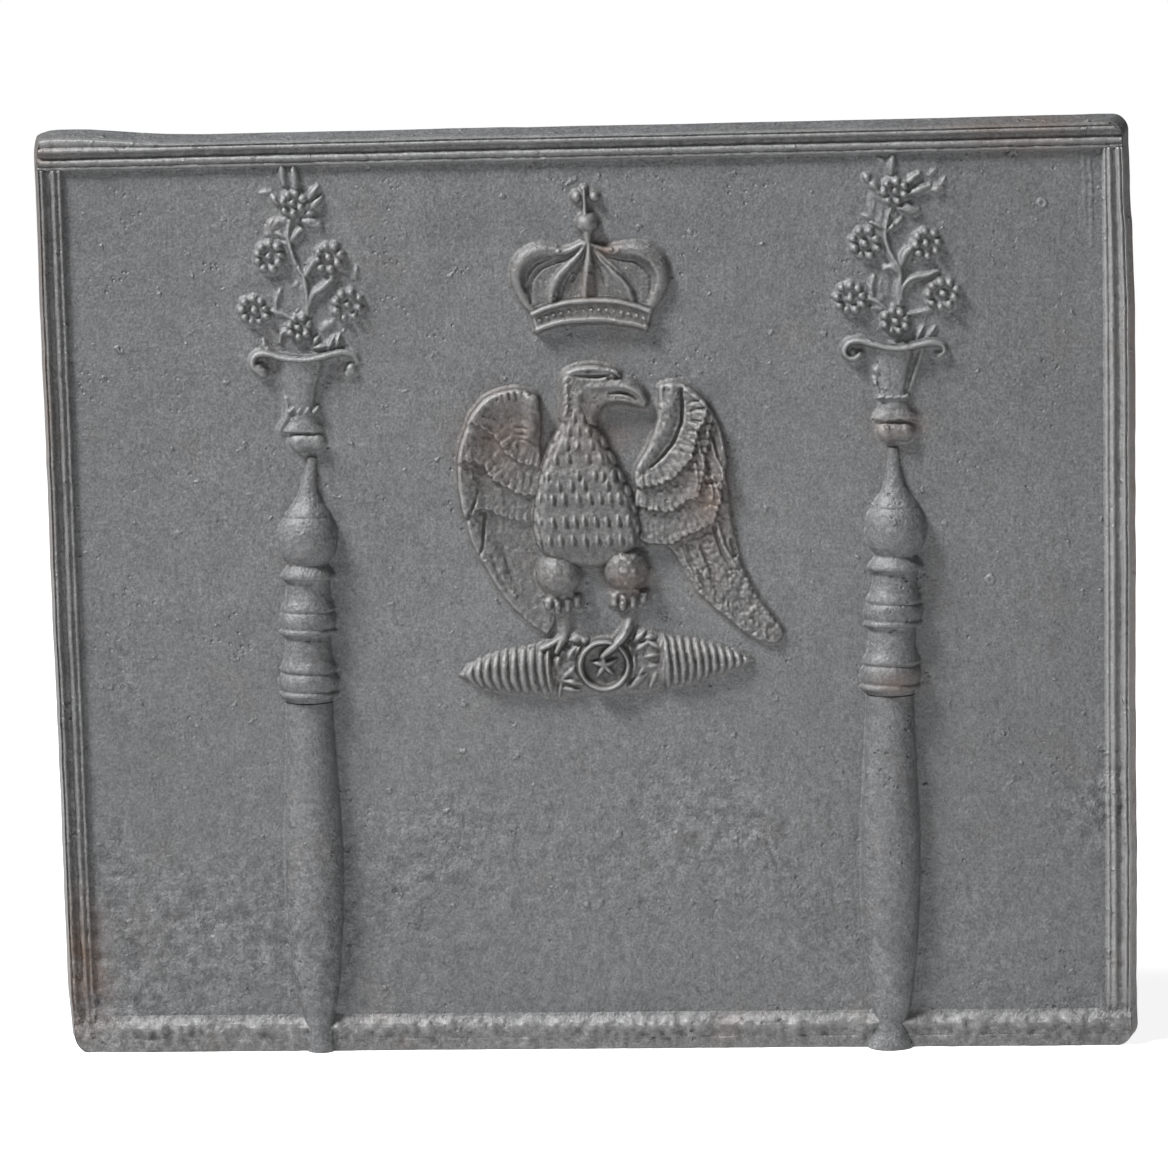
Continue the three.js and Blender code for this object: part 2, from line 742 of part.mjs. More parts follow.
function crownBand() {
  const pearls = [];
  for (let pearl = 0; pearl < crownPearls; pearl += 1) {
    const [x, y] = bandPoint((-1 + (2 * (pearl + 0.5)) / crownPearls) * 0.98, crownBandHeight / 2);
    pearls.push(dome(x, y, pearlRadius, pearlRelief, 5, 2));
  }
  const rimLine = crownRimInset + crownRimWidth / 2;
  const rims = [crownRim(rimLine), crownRim(crownBandHeight - rimLine)];
  return join([bandPlate(), ...rims, ...pearls]);
}

function crownOrb(margin) {
  const foot = orbHeight + orbRadius * 0.8;
  const top = orbHeight + crossHeight;
  const bar = top - crossBarWidth * 1.3;
  const width = crossBarWidth + 2 * margin;
  const relief = crossRelief + margin;
  return join([
    dome(0, orbHeight, orbRadius + margin, orbRelief + margin, 12, 3, margin),
    ridge({
      points: [[0, foot], [0, top]],
      widths: [width * 0.8, width],
      reliefs: [relief, relief],
      steps: 2,
      depth: margin,
    }),
    ridge({
      points: [[-crossSpan / 2, bar], [crossSpan / 2, bar]],
      widths: [width, width * 0.7, width],
      reliefs: [relief, relief],
      steps: 4,
      depth: margin,
    }),
  ]);
}

// Five arches spring from the band and meet under the orb: two wide ones, two narrow ones and a
// leaf in the middle.
function crownArches() {
  const arch = ({ side, across, up, widths, steps }) => ridge({
    points: across.map((share, index) => [side * share * crownHalfSpan, up[index] * archMeetingHeight]),
    widths: widths.map((share) => share * archWidth),
    reliefs: [archRelief * 0.8, archRelief, archRelief, archRelief, archRelief, archRelief * 0.85],
    steps,
  });
  const foot = crownBandHeight / archMeetingHeight;
  const outerArch = (side) => arch({
    side,
    across: [0, 0.34, 0.61, 0.85, 0.905, 0.86, 0.77],
    up: [1, 0.9, 0.957, 0.8, 0.58, 0.39, foot * 0.7],
    widths: [0.32, 0.58, 0.84, 1, 1, 0.9, 0.68],
    steps: 14,
  });
  const innerArch = (side) => arch({
    side,
    across: [0, 0.215, 0.407, 0.446, 0.42],
    up: [1, 0.87, 0.65, 0.47, foot],
    widths: [0.32, 0.58, 0.9, 1.05, 1],
    steps: 9,
  });
  const leafOfCrown = ridge({
    points: [1, 0.67, 0.47, foot].map((share) => [0, share * archMeetingHeight]),
    widths: [0.2, 0.67, 1, 1].map((share) => share * crownLeafWidth),
    reliefs: [archRelief * 0.8, archRelief, archRelief, archRelief * 0.8],
    steps: 6,
  });
  const meeting = dome(0, archMeetingHeight, archWidth * 0.47, archRelief, 10, 2);
  return join([outerArch(-1), outerArch(1), innerArch(-1), innerArch(1), leafOfCrown, meeting])
    .subtract(solidOf(belowBandTop()))
    .subtract(crownOrb(clearance));
}

// ------------------------------------------------------------------ thunderbolt

const boltMatrix = new THREE.Matrix4().makeRotationZ(boltTilt * degree).setPosition(boltX, 0, 0);

function boltRadius(place) {
  return boltGirth * Math.max(0, 1 - (place / boltHalfLength) ** 2) ** boltFullness;
}

// One stretch of the spindle, laid along the bolt; a room for it in another piece isn't halved.
function spindle(from, to, flattening, steps, margin, swell) {
  const profile = [];
  for (let step = 0; step <= steps; step += 1) {
    const place = from + ((to - from) * step) / steps;
    profile.push([Math.max(0.4, swell(place, step)) + margin, place]);
  }
  const lathe = margin > 0 ? wholeTurning(profile, flattening, boltSides) : turning(profile, flattening, boltSides);
  return solidOf(geometryOf(lathe).rotateZ(-Math.PI / 2).applyMatrix4(boltMatrix));
}

// A ribbed end: the radius dips between the ribs. Side is -1 or 1.
function ribbedEnd(side, margin) {
  const near = boltHeartHalfLength + clearance - margin;
  const [from, to] = side < 0 ? [-boltHalfLength, -near] : [near, boltHalfLength];
  const dips = (place, step) => boltRadius(place) * (1 - (step % 2 === 0 ? boltRibDepth : 0));
  return margin > 0 ? spindle(from, to, boltFlattening, boltRibs, margin, boltRadius)
    : spindle(from, to, boltFlattening, boltRibs * 2, margin, dips);
}

function onBolt([x, y]) {
  const point = new THREE.Vector3(x, y, 0).applyMatrix4(boltMatrix);
  return [point.x, point.y];
}

function boltRing() {
  const [x, y] = onBolt([ringShift, 0]);
  const inner = ringRadius - ringWidth / 2;
  const outer = ringRadius + ringWidth / 2;
  const shoulder = ringRelief * 0.75;
  const profile = [[inner, 0], [outer, 0], [outer, shoulder], [ringRadius, ringRelief], [inner, shoulder], [inner, 0]];
  const ring = new THREE.LatheGeometry(profile.map(([r, h]) => new THREE.Vector2(r, h)), 20);
  return ring.rotateX(Math.PI / 2).translate(x, y, 0);
}

function boltStar() {
  const [x, y] = onBolt([ringShift, 0]);
  const points = [];
  for (let corner = 0; corner < 10; corner += 1) {
    const turn = Math.PI / 2 + (Math.PI * corner) / 5 + boltTilt * degree;
    const reach = corner % 2 === 0 ? starRadius : starRadius * starInset;
    points.push(new THREE.Vector2(x + reach * Math.cos(turn), y + reach * Math.sin(turn)));
  }
  return slab(new THREE.Shape(points), starRelief);
}

// A jagged flame that darts out beside the ring.
function boltFlame(side) {
  const start = ringShift + side * ringRadius;
  const end = side * (boltHeartHalfLength - 1.2);
  const zigzag = [-5, 4, -3, 5].map((y, index) => onBolt([start + ((end - start) * index) / 3, y]));
  return ridge({
    points: zigzag,
    widths: [flameWidth, flameWidth, flameWidth, 0.8],
    reliefs: [flameRelief, flameRelief, flameRelief * 0.9, flameRelief * 0.7],
    steps: 6,
    sides: 2,
  });
}

// The smooth middle with its ring, star and flames.
function boltHeart() {
  const low = spindle(-boltHeartHalfLength, boltHeartHalfLength, boltHeartFlattening, 8, 0,
    (place) => boltRadius(place) * boltHeartShare);
  return low.add(join([boltRing(), boltStar(), boltFlame(-1), boltFlame(1)]));
}

function boltHeartRoom() {
  const [x, y] = onBolt([ringShift, 0]);
  const reach = ringRadius + ringWidth / 2 + clearance;
  const height = ringRelief + clearance;
  const ringRoom = new THREE.CylinderGeometry(reach, reach, 2 * height, 24).rotateX(Math.PI / 2);
  return spindle(-boltHeartHalfLength, boltHeartHalfLength, boltFlattening, 8, clearance, boltRadius)
    .add(solidOf(ringRoom.translate(x, y, 0)));
}

// ------------------------------------------------------------------ eagle

const legRoots = { left: [-17, 51], right: [20.5, 54.5] };
const clawPaths = {
  left: [[-14, 25], [-17, 18], [-24, 13.5], [-34, 9]],
  right: [[23, 28], [22, 21], [17, 14.5], [11, 10.5]],
};

function torso(margin) {
  const middle = torsoWidest;
  const widths = [0.72, 0.98, 1, 0.93, 0.8, 0.66, 0.5, 0.36].map((share) => 2 * (share * torsoHalfWidth + margin));
  const tip = 2 * (neckHalfWidth + margin);
  const reliefs = [0.75, 0.95, 1, 0.98, 0.94, 0.88, 0.8, 0.76].map((share) => share * torsoRelief + margin);
  return solidOf(ridge({
    points: [[-0.5, torsoFoot - margin], [-1, middle], [-2, middle + 18], [-4, middle + 35], [-5, middle + 50],
      [-3.5, neckLine + margin]],
    widths: [...widths, tip],
    reliefs,
    steps: 12,
    sides: 8,
    depth: margin,
  }));
}

function leg(side, margin) {
  const [x, y] = legRoots[side];
  const [footX, footY] = clawPaths[side][0];
  return join([
    dome(x, y, thighRadius + margin, thighRelief + margin, 14, 4, margin),
    ridge({
      points: [[x, y - thighRadius * 0.6], [(x + footX) / 2, (y + footY) / 2 - 3], [footX, footY + 1]],
      widths: [shankWidth * 1.2, shankWidth * 1.4, shankWidth].map((width) => width + 2 * margin),
      reliefs: [shankRelief * 1.2, shankRelief, shankRelief * 0.8].map((relief) => relief + margin),
      steps: 4,
      depth: margin,
    }),
  ]);
}

function boltRoom() {
  return ribbedEnd(-1, clearance).add(ribbedEnd(1, clearance)).add(boltHeartRoom());
}

function foot(side) {
  return solidOf(ridge({
    points: clawPaths[side],
    widths: [clawWidth * 1.5, clawWidth * 1.3, clawWidth, 1.6],
    reliefs: [clawRelief, clawRelief * 1.05, clawRelief, clawRelief * 0.8],
    steps: 7,
  })).subtract(leg(side, clearance)).subtract(boltRoom());
}

// The skull with its brow, and a beak that hooks down.
function eagleHead() {
  const skull = dome(3, neckLine + headRadius, headRadius, headRelief, 14, 4);
  const nape = ridge({
    points: [[-3.5, neckLine - 4], [-1.5, neckLine + 10]],
    widths: [2 * neckHalfWidth, 2 * neckHalfWidth],
    reliefs: [torsoRelief * 0.76, headRelief * 0.8],
    steps: 3,
    sides: 6,
  });
  const beakRoot = [9, neckLine + 8];
  const tip = [beakRoot[0] + beakLength, neckLine - 4];
  const upperBeak = ridge({
    points: [beakRoot, [beakRoot[0] + beakLength * 0.55, neckLine + 7], [tip[0] + 1, neckLine + 2], tip],
    widths: [15, 11, 7, 1],
    reliefs: [beakRelief, beakRelief, beakRelief * 0.8, beakRelief * 0.4],
    steps: 7,
  });
  const lowerBeak = ridge({
    points: [[beakRoot[0], neckLine + 2], [beakRoot[0] + beakLength * 0.7, neckLine - 0.5]],
    widths: [8, 3],
    reliefs: [beakRelief * 0.8, beakRelief * 0.4],
    steps: 3,
  });
  const brow = ridge({
    points: [[-8, neckLine + 16], [3, neckLine + 19.5], [15, neckLine + 14]],
    widths: [2, 5.5, 2.5],
    reliefs: [headRelief * 0.9, headRelief * 1.05, headRelief * 0.8],
    steps: 5,
  });
  const aboveNeck = solidOf(block([-far, neckLine + clearance, -far], [far, far, far]));
  const beak = join([upperBeak, lowerBeak]).subtract(torso(clearance));
  return join([skull, nape, brow]).intersect(aboveNeck).add(beak);
}

// Rows of feathers hang from shoulder lines; each feather leans as the row's ends say.
const wings = {
  left: {
    outline: [[-42, 157], [-29, 154], [-27.5, 124], [-36, 110], [-42, 85], [-39, 58], [-30, 36], [-30, 22], [-36, 24],
      [-49, 39.5], [-61.5, 62], [-68, 79], [-71.5, 94], [-72.5, 109], [-69, 127], [-59.5, 148]],
    edge: [[-38, 156.5], [-50, 153], [-60, 146], [-68, 128], [-71, 109], [-70, 94], [-66.5, 79], [-60, 62.5],
      [-48, 41], [-35, 25]],
    shoulder: [[-33, 150], [-46, 149], [-56, 140], [-60, 128]],
    rows: [
      { from: [-60, 137], to: [-31, 126], lean: [-105, -82], length: 22, count: 6 },
      { from: [-65, 121], to: [-35, 121], lean: [-102, -88], length: 18, count: 6 },
      { from: [-65, 104], to: [-42, 106], lean: [-98, -88], length: 17, count: 5 },
      { from: [-61, 88], to: [-47, 86], lean: [-72, -70], length: 34, count: 3 },
    ],
  },
  right: {
    outline: [[44, 157], [57, 154], [69.5, 139], [76, 118], [77.5, 89], [81, 62], [92.5, 37.5], [105, 17.5], [99, 13.5],
      [84, 20], [62, 38], [48, 59], [34, 67], [30, 84], [25, 106], [28.5, 112], [38.5, 136]],
    edge: [[49, 156.5], [58, 151.5], [68.5, 138], [74.5, 118], [76, 89], [79.5, 62], [91, 38], [102, 18.5]],
    shoulder: [[45.5, 152], [46, 136], [39, 121], [29, 112]],
    rows: [
      { from: [56, 143], to: [33, 116], lean: [-60, -42], length: 16, count: 7 },
      { from: [68, 124], to: [38, 104], lean: [-85, -70], length: 20, count: 7 },
      { from: [71, 105], to: [36, 92], lean: [-92, -80], length: 18, count: 7 },
      { from: [73, 86], to: [42, 82], lean: [-95, -95], length: 17, count: 7 },
      { from: [75, 70], to: [54, 66], lean: [-58, -55], length: 46, count: 4 },
    ],
  },
};

function featherRow({ from, to, lean, length, count }, row) {
  const relief = topFeatherRelief - row * featherStep;
  return Array.from({ length: count }, (_, index) => {
    const t = index / (count - 1);
    const root = [0, 1].map((axis) => THREE.MathUtils.lerp(from[axis], to[axis], t));
    const angle = THREE.MathUtils.lerp(lean[0], lean[1], t) * degree;
    const reach = (share) => [root[0] + length * share * Math.cos(angle), root[1] + length * share * Math.sin(angle)];
    return ridge({
      points: [reach(0), reach(0.5), reach(1)],
      widths: [featherWidth * 0.7, featherWidth, featherWidth, featherWidth * 0.45],
      reliefs: [relief * 0.7, relief, relief, relief * 0.8],
      steps: 2,
      sides: 2,
    });
  });
}

function wing(side) {
  const { outline, edge, shoulder, rows } = wings[side];
  const shape = new THREE.Shape();
  const points = outline.map(([x, y]) => new THREE.Vector2(x, y));
  shape.moveTo(points[0].x, points[0].y);
  shape.splineThru([...points.slice(1), points[0]]);
  const base = slab(shape, wingSlabRelief, 2);
  const leadingEdge = ridge({
    points: edge,
    widths: [wingEdgeWidth, wingEdgeWidth],
    reliefs: [wingEdgeRelief, wingEdgeRelief, wingEdgeRelief * 0.7],
    steps: 14,
    sides: 2,
  });
  const shoulderBar = ridge({
    points: shoulder,
    widths: [11, 12, 11, 6],
    reliefs: [shoulderRelief, shoulderRelief, shoulderRelief * 0.9, shoulderRelief * 0.7],
    steps: 7,
  });
  const feathers = rows.flatMap(featherRow);
  return join([base, leadingEdge, shoulderBar, ...feathers])
    .subtract(torso(clearance))
    .subtract(leg(side, clearance))
    .subtract(foot(side))
    .subtract(boltRoom());
}

function eagleBody() {
  const belowNeck = solidOf(block([-far, -far, -far], [far, neckLine, far]));
  return torso(0).intersect(belowNeck).subtract(leg('left', clearance)).subtract(leg('right', clearance));
}

// ------------------------------------------------------------------ assembly

const iron = {
  field: { color: 0x5d6062, roughness: 0.62, metalness: 0.55 },
  border: { color: 0x6a6a69, roughness: 0.58, metalness: 0.55 },
  pillar: { color: 0x646668, roughness: 0.55, metalness: 0.55 },
  flowers: { color: 0x6c6d6e, roughness: 0.6, metalness: 0.55 },
  emblem: { color: 0x686868, roughness: 0.52, metalness: 0.6 },
};

function add(group, name, finish, shape) {
  const geometry = shape.isBufferGeometry ? shape : geometryOf(shape);
  const mesh = new THREE.Mesh(geometry, new THREE.MeshStandardMaterial(iron[finish]));
  mesh.name = name;
  group.add(mesh);
}

function placedGroup(parent, x, y, lean) {
  const group = new THREE.Group();
  group.position.set(x, y, 0);
  group.rotation.z = lean * degree;
  group.updateMatrix();
  parent.add(group);
  return group;
}

const fireback = new THREE.Group();
const face = new THREE.Group();
face.position.y = faceY;
face.rotation.x = Math.PI / 2;
fireback.add(face);

add(face, 'plate', 'field', plate());
for (const [name, geometry] of borderPieces()) {
  add(face, name, 'border', geometry);
}

const pillars = {
  left: [leftPillarX, leftPillarLean, leftFootRadius],
  right: [rightPillarX, rightPillarLean, rightFootRadius],
};
for (const [side, [x, lean, footRadius]] of Object.entries(pillars)) {
  const pillar = placedGroup(face, x, 0, lean);
  const toPillar = pillar.matrix.clone().invert();
  add(pillar, `pillar_shaft_${side}`, 'pillar', pillarShaft(footRadius, toPillar));
  add(pillar, `pillar_head_${side}`, 'pillar', pillarHead());
}

const baskets = { left: [leftBasketX, leftBasketLean], right: [rightBasketX, rightBasketLean] };
for (const [side, [x, lean]] of Object.entries(baskets)) {
  const basket = placedGroup(face, x, basketBase, lean);
  add(basket, `knob_${side}`, 'pillar', knob());
  add(basket, `basket_${side}`, 'flowers', basketBody());
  add(basket, `basket_rim_${side}`, 'flowers', basketRim());
  add(basket, `stems_${side}`, 'flowers', stems());
  for (const [name, [flowerX, flowerY]] of Object.entries(flowerPlaces)) {
    const bloom = placedGroup(basket, flowerX, flowerY, 0);
    add(bloom, `${name}_of_${side}_basket`, 'flowers', name === 'flower_top' ? topSpray() : flower());
  }
}

const crown = placedGroup(face, crownX, crownBase, 0);
add(crown, 'crown_band', 'emblem', crownBand());
add(crown, 'crown_arches', 'emblem', crownArches());
add(crown, 'crown_orb_and_cross', 'emblem', crownOrb(0));

const eagle = placedGroup(face, eagleX, eagleBase, 0);
add(eagle, 'eagle_body', 'emblem', eagleBody());
add(eagle, 'eagle_head', 'emblem', eagleHead());
for (const side of ['left', 'right']) {
  add(eagle, `eagle_wing_${side}`, 'emblem', wing(side));
  add(eagle, `eagle_leg_${side}`, 'emblem', leg(side, 0));
  add(eagle, `eagle_foot_${side}`, 'emblem', foot(side));
}
add(eagle, 'bolt_left', 'emblem', ribbedEnd(-1, 0));
add(eagle, 'bolt_right', 'emblem', ribbedEnd(1, 0));
add(eagle, 'bolt_heart', 'emblem', boltHeart());

export default fireback;
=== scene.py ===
import bpy
import numpy as np
from mathutils import Matrix


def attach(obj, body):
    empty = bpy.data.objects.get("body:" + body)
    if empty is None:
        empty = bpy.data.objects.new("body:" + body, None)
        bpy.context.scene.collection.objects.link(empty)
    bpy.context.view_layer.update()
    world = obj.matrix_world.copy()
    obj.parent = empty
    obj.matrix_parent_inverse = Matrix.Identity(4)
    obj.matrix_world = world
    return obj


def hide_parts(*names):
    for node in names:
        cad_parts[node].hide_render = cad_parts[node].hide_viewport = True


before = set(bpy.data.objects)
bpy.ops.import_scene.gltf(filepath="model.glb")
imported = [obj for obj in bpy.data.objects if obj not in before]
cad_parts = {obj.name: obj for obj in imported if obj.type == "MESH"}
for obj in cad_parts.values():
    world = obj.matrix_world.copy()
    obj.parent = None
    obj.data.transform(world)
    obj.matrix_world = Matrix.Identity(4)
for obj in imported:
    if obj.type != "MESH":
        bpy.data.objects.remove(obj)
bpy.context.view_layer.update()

mm = 0.001
faceY = 0.0125  # the CAD plate's front face, in millimetres
print("frame loaded:", len(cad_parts), "nodes")

cameraLook = {
    "place": (115.34, -1942.99, 510.1),
    "right": (0.998101, 0.0574, -0.022372),
    "down": (-0.014858, -0.128138, -0.991645),
    "ahead": (-0.059787, 0.990094, -0.127042),
    "lens": 110.48,
    "sensor": 36.0,
}


def setCamera(look):
    # the turn's columns are right, minus down and minus ahead, made exactly square to one another
    data = bpy.data.cameras.new("camera")
    data.lens = look["lens"]
    data.sensor_width = look["sensor"]
    data.clip_start, data.clip_end = 0.05, 60
    camera = bpy.data.objects.new("camera", data)
    turn = np.array([look["right"], look["down"], look["ahead"]]).T * (1, -1, -1)
    u, _, v = np.linalg.svd(turn)
    place = np.eye(4)
    place[:3, :3] = u @ v
    place[:3, 3] = np.array(look["place"]) * mm
    camera.matrix_world = Matrix(place.tolist())
    bpy.context.scene.collection.objects.link(camera)
    bpy.context.scene.camera = camera


setCamera(cameraLook)


def latticeValue(column, row, seed):
    # a steady number from -1 to 1 for each whole place: the place's numbers, mixed and folded
    mixed = (column * 374761393 + row * 668265263 + seed * 974634777) & 0xFFFFFFFF
    mixed = ((mixed ^ (mixed >> 13)) * 1274126177) & 0xFFFFFFFF
    return ((mixed ^ (mixed >> 16)) & 0xFFFF) / 32767.5 - 1


def waves(x, z, size, seed=0):
    # lattice values every `size` mm, blended by 3t^2 - 2t^3 in both directions
    u, v = x / size, z / size
    column, row = np.floor(u).astype(np.int64), np.floor(v).astype(np.int64)
    u, v = u - column, v - row
    u, v = u * u * (3 - 2 * u), v * v * (3 - 2 * v)
    low = latticeValue(column, row, seed) * (1 - u) + latticeValue(column + 1, row, seed) * u
    high = latticeValue(column, row + 1, seed) * (1 - u) + latticeValue(column + 1, row + 1, seed) * u
    return low * (1 - v) + high * v


def smoothMax(a, b, soft):
    # the larger of a and b, rounded over by (soft - |a - b|)^2 / (4 soft) where they are close
    near = np.maximum(soft - np.abs(a - b), 0)
    return np.maximum(a, b) + near * near / (4 * soft)


def easeIn(t):
    # 3t^2 - 2t^3 between 0 and 1
    t = np.clip(t, 0, 1)
    return t * t * (3 - 2 * t)


def flow(points, steps=6):
    # Catmull-Rom curve through the points, every column of them carried along
    points = np.array(points, float)
    if len(points) < 3:
        t = np.linspace(0, 1, steps + 1)[:, None]
        return points[0] * (1 - t) + points[-1] * t
    padded = np.vstack([2 * points[0] - points[1], points, 2 * points[-1] - points[-2]])
    t = (np.arange(steps) / steps)[:, None]
    parts = []
    for a, b, c, d in zip(padded, padded[1:], padded[2:], padded[3:]):
        cubic = (3 * b - a - 3 * c + d) * t**3
        parts.append(0.5 * (2 * b + (c - a) * t + (2 * a - 5 * b + 4 * c - d) * t**2 + cubic))
    return np.vstack(parts + [points[-1:]])


fieldLook = {
    "swells": [(110, 0.34, 1), (47, 0.22, 2), (21, 0.14, 3), (10, 0.06, 4)],  # size, height, seed
    "roughSwells": [(13, 0.42, 5), (7, 0.36, 6), (4.6, 0.2, 7)],
    "roughPlaces": [  # middle, half spans, amount
        ((283, 137), (26, 24), 1.3), ((95, 112), (9, 11), 1.0), ((-259, 207), (9, 26), 1.0),
        ((-267, 107), (8, 30), 1.0), ((-282, 20), (34, 26), 1.2), ((60, 130), (64, 40), 0.9),
        ((-84, 116), (46, 34), 0.9), ((-200, 70), (90, 50), 0.8), ((-20, 488), (12, 5), 0.8),
        ((285, 22), (30, 10), 0.7),
    ],
    "stampPlaces": [((-151, 430), (40, 74)), ((171, 430), (39, 74))],
    "stampStep": 0.4,
}


def roughness(x, z):
    # where the sand broke up: the sum of soft spots, and more of it towards the lower edge
    amount = 0.6 * easeIn((200 - z) / 170) * (0.65 + 0.35 * waves(x, z, 70, 8))
    for (px, pz), (rx, rz), strength in fieldLook["roughPlaces"]:
        amount = amount + strength * np.exp(-((x - px) / rx) ** 2 - ((z - pz) / rz) ** 2)
    return np.clip(amount, 0, 1.4)


def fieldHeight(x, z):
    # the unevenness of the sand-cast face: the swells, the rough places, and the low oval steps
    # that the ornaments' backing boards pressed into the sand
    height = sum(rise * waves(x, z, size, seed) for size, rise, seed in fieldLook["swells"])
    ragged = sum(rise * waves(x, z, size, seed) for size, rise, seed in fieldLook["roughSwells"])
    height = height + roughness(x, z) * ragged
    for (px, pz), (rx, rz) in fieldLook["stampPlaces"]:
        away = np.hypot((x - px) / rx, (z - pz) / rz) + 0.05 * waves(x, z, 26, 9)
        height = height + fieldLook["stampStep"] * easeIn((1.06 - away) / 0.2)
    return height


rustLook = [  # middle, half spans, amount of rust there
    ((15, 443), (6, 3), 0.7), ((-46, 345), (22, 20), 0.45), ((66, 305), (12, 26), 0.5),
    ((4, 422), (6, 9), 0.3), ((-299, 380), (6, 140), 0.55), ((299, 300), (4.5, 260), 0.8),
    ((-292, 500), (12, 6), 0.5), ((-286, 40), (14, 34), 0.5), ((168, 206), (14, 7), 0.45),
    ((240, 500), (26, 10), 0.4), ((22, 262), (10, 8), 0.5), ((12, 345), (16, 14), 0.35),
    ((-292, 60), (9, 30), 0.5), ((170, 345), (16, 8), 0.4), ((225, 505), (40, 3), 0.3),
]


def rustAmount(x, z):
    # a sum of soft spots
    amount = np.zeros(np.shape(x))
    for (px, pz), (rx, rz), strength in rustLook:
        amount = amount + strength * np.exp(-((x - px) / rx) ** 2 - ((z - pz) / rz) ** 2)
    return np.clip(amount, 0, 1)


slotPieces = {}


def makePiece(name, points, faces, flat, slot, nodes, shadeAndWear):
    # puts places (mm) and faces in a mesh at the origin; flat marks the faces that stay faceted
    mesh = bpy.data.meshes.new(name)
    points = np.asarray(points, np.float64)
    sizes = np.concatenate([np.full(len(group), group.shape[1], np.int32) for group in faces])
    mesh.vertices.add(len(points))
    mesh.vertices.foreach_set("co", (points * mm).astype(np.float32).ravel())
    corners = np.concatenate([group.ravel() for group in faces]).astype(np.int32)
    mesh.loops.add(len(corners))
    mesh.loops.foreach_set("vertex_index", corners)
    mesh.polygons.add(len(sizes))
    starts = np.concatenate([[0], np.cumsum(sizes)[:-1]]).astype(np.int32)
    mesh.polygons.foreach_set("loop_start", starts)
    mesh.polygons.foreach_set("use_smooth", ~np.asarray(flat, bool))
    mesh.update(calc_edges=True)
    mesh.validate()
    x, z = points[:, 0], points[:, 2]
    # the shade-and-wear value carries painted shade in hollows and lighter edges (partly wear, partly
    # painted highlight); rust and roughness are the iron's own
    for layerName, values in (("shadeAndWear", shadeAndWear), ("rust", rustAmount(x, z)), ("rough", roughness(x, z))):
        layer = mesh.attributes.new(layerName, "FLOAT", "POINT")
        layer.data.foreach_set("value", np.asarray(values, np.float32).ravel())
    piece = bpy.data.objects.new(name, mesh)
    bpy.context.scene.collection.objects.link(piece)
    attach(piece, "root")
    if nodes:
        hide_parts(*nodes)
    slotPieces.setdefault(slot, []).append(piece)
    print("  ", name, int((sizes - 2).sum()), "triangles")
    return piece


def closeSheet(inside, front, back):
    # closes a masked sheet of cells: front quads, back quads turned round, and a wall along
    # each open side
    rows, columns = inside.shape
    index = np.arange((rows + 1) * (columns + 1)).reshape(rows + 1, columns + 1)
    count = index.size
    i, j = np.nonzero(inside)
    a, b, c, d = index[i, j], index[i, j + 1], index[i + 1, j + 1], index[i + 1, j]
    faces = [np.stack([a, b, c, d], 1), np.stack([d, c, b, a], 1) + count]
    flat = [np.zeros(len(a), bool), np.ones(len(a), bool)]
    padded = np.pad(inside, 1)
    for p, q, neighbour in ((a, b, padded[i, j + 1]), (b, c, padded[i + 1, j + 2]),
                            (c, d, padded[i + 2, j + 1]), (d, a, padded[i + 1, j])):
        p, q = p[~neighbour], q[~neighbour]
        faces.append(np.stack([q, p, p + count, q + count], 1))
        flat.append(np.ones(len(p), bool))
    faces, flat = np.vstack(faces), np.concatenate(flat)
    used = np.unique(faces)
    renumber = np.zeros(2 * count, np.int64)
    renumber[used] = np.arange(len(used))
    points = np.vstack([front.reshape(-1, 3), back.reshape(-1, 3)])[used]
    return points, renumber[faces], flat, used


def spread(values, cells):
    # a soft mean over a few cells either way: passes of a cross-shaped sum
    out = values
    for _ in range(cells):
        padded = np.pad(out, 1, mode="edge")
        near = padded[:-2, 1:-1] + padded[2:, 1:-1] + padded[1:-1, :-2] + padded[1:-1, 2:]
        out = (near + 2 * out) / 6
    return out


def shadeAndWearOf(height, hollows=1.0):
    # 0.5 on level ground; more on edges, partly for wear where hands and brushes reach and partly as
    # painted highlight; less in the hollows, as painted shade
    shadeAndWear = 1.3 * (height - spread(height, 3)) + 0.35 * (height - spread(height, 12))
    return np.clip(0.5 + np.where(shadeAndWear < 0, shadeAndWear * hollows, shadeAndWear), 0, 1)


castingLook = {
    "step": 0.5,
    "fillet": 1.5,  # how softly an ornament runs into the field
    "sink": 0.06,  # the skirt of a piece ends just under the field
    "floor": 2.4,  # its back, below the face
    "highest": 13.9,  # nothing stands higher above the face
    "skirt": 0.85, "skirtReach": 14,  # how high and how far the sand gave way round an ornament
    "melt": 2,  # how often the relief is softened, as worn patterns and sand soften it
    "wander": [(7.0, 0.32), (2.6, 0.14)],  # size and reach of the shifts that make outlines irregular
    "rough": [(4.2, 0.11, 11), (2.1, 0.10, 12), (1.2, 0.05, 13)],  # size, height, seed
}


def castSkin(x, z):
    # the sandy skin of raised parts
    return sum(rise * waves(x, z, size, seed) for size, rise, seed in castingLook["rough"])


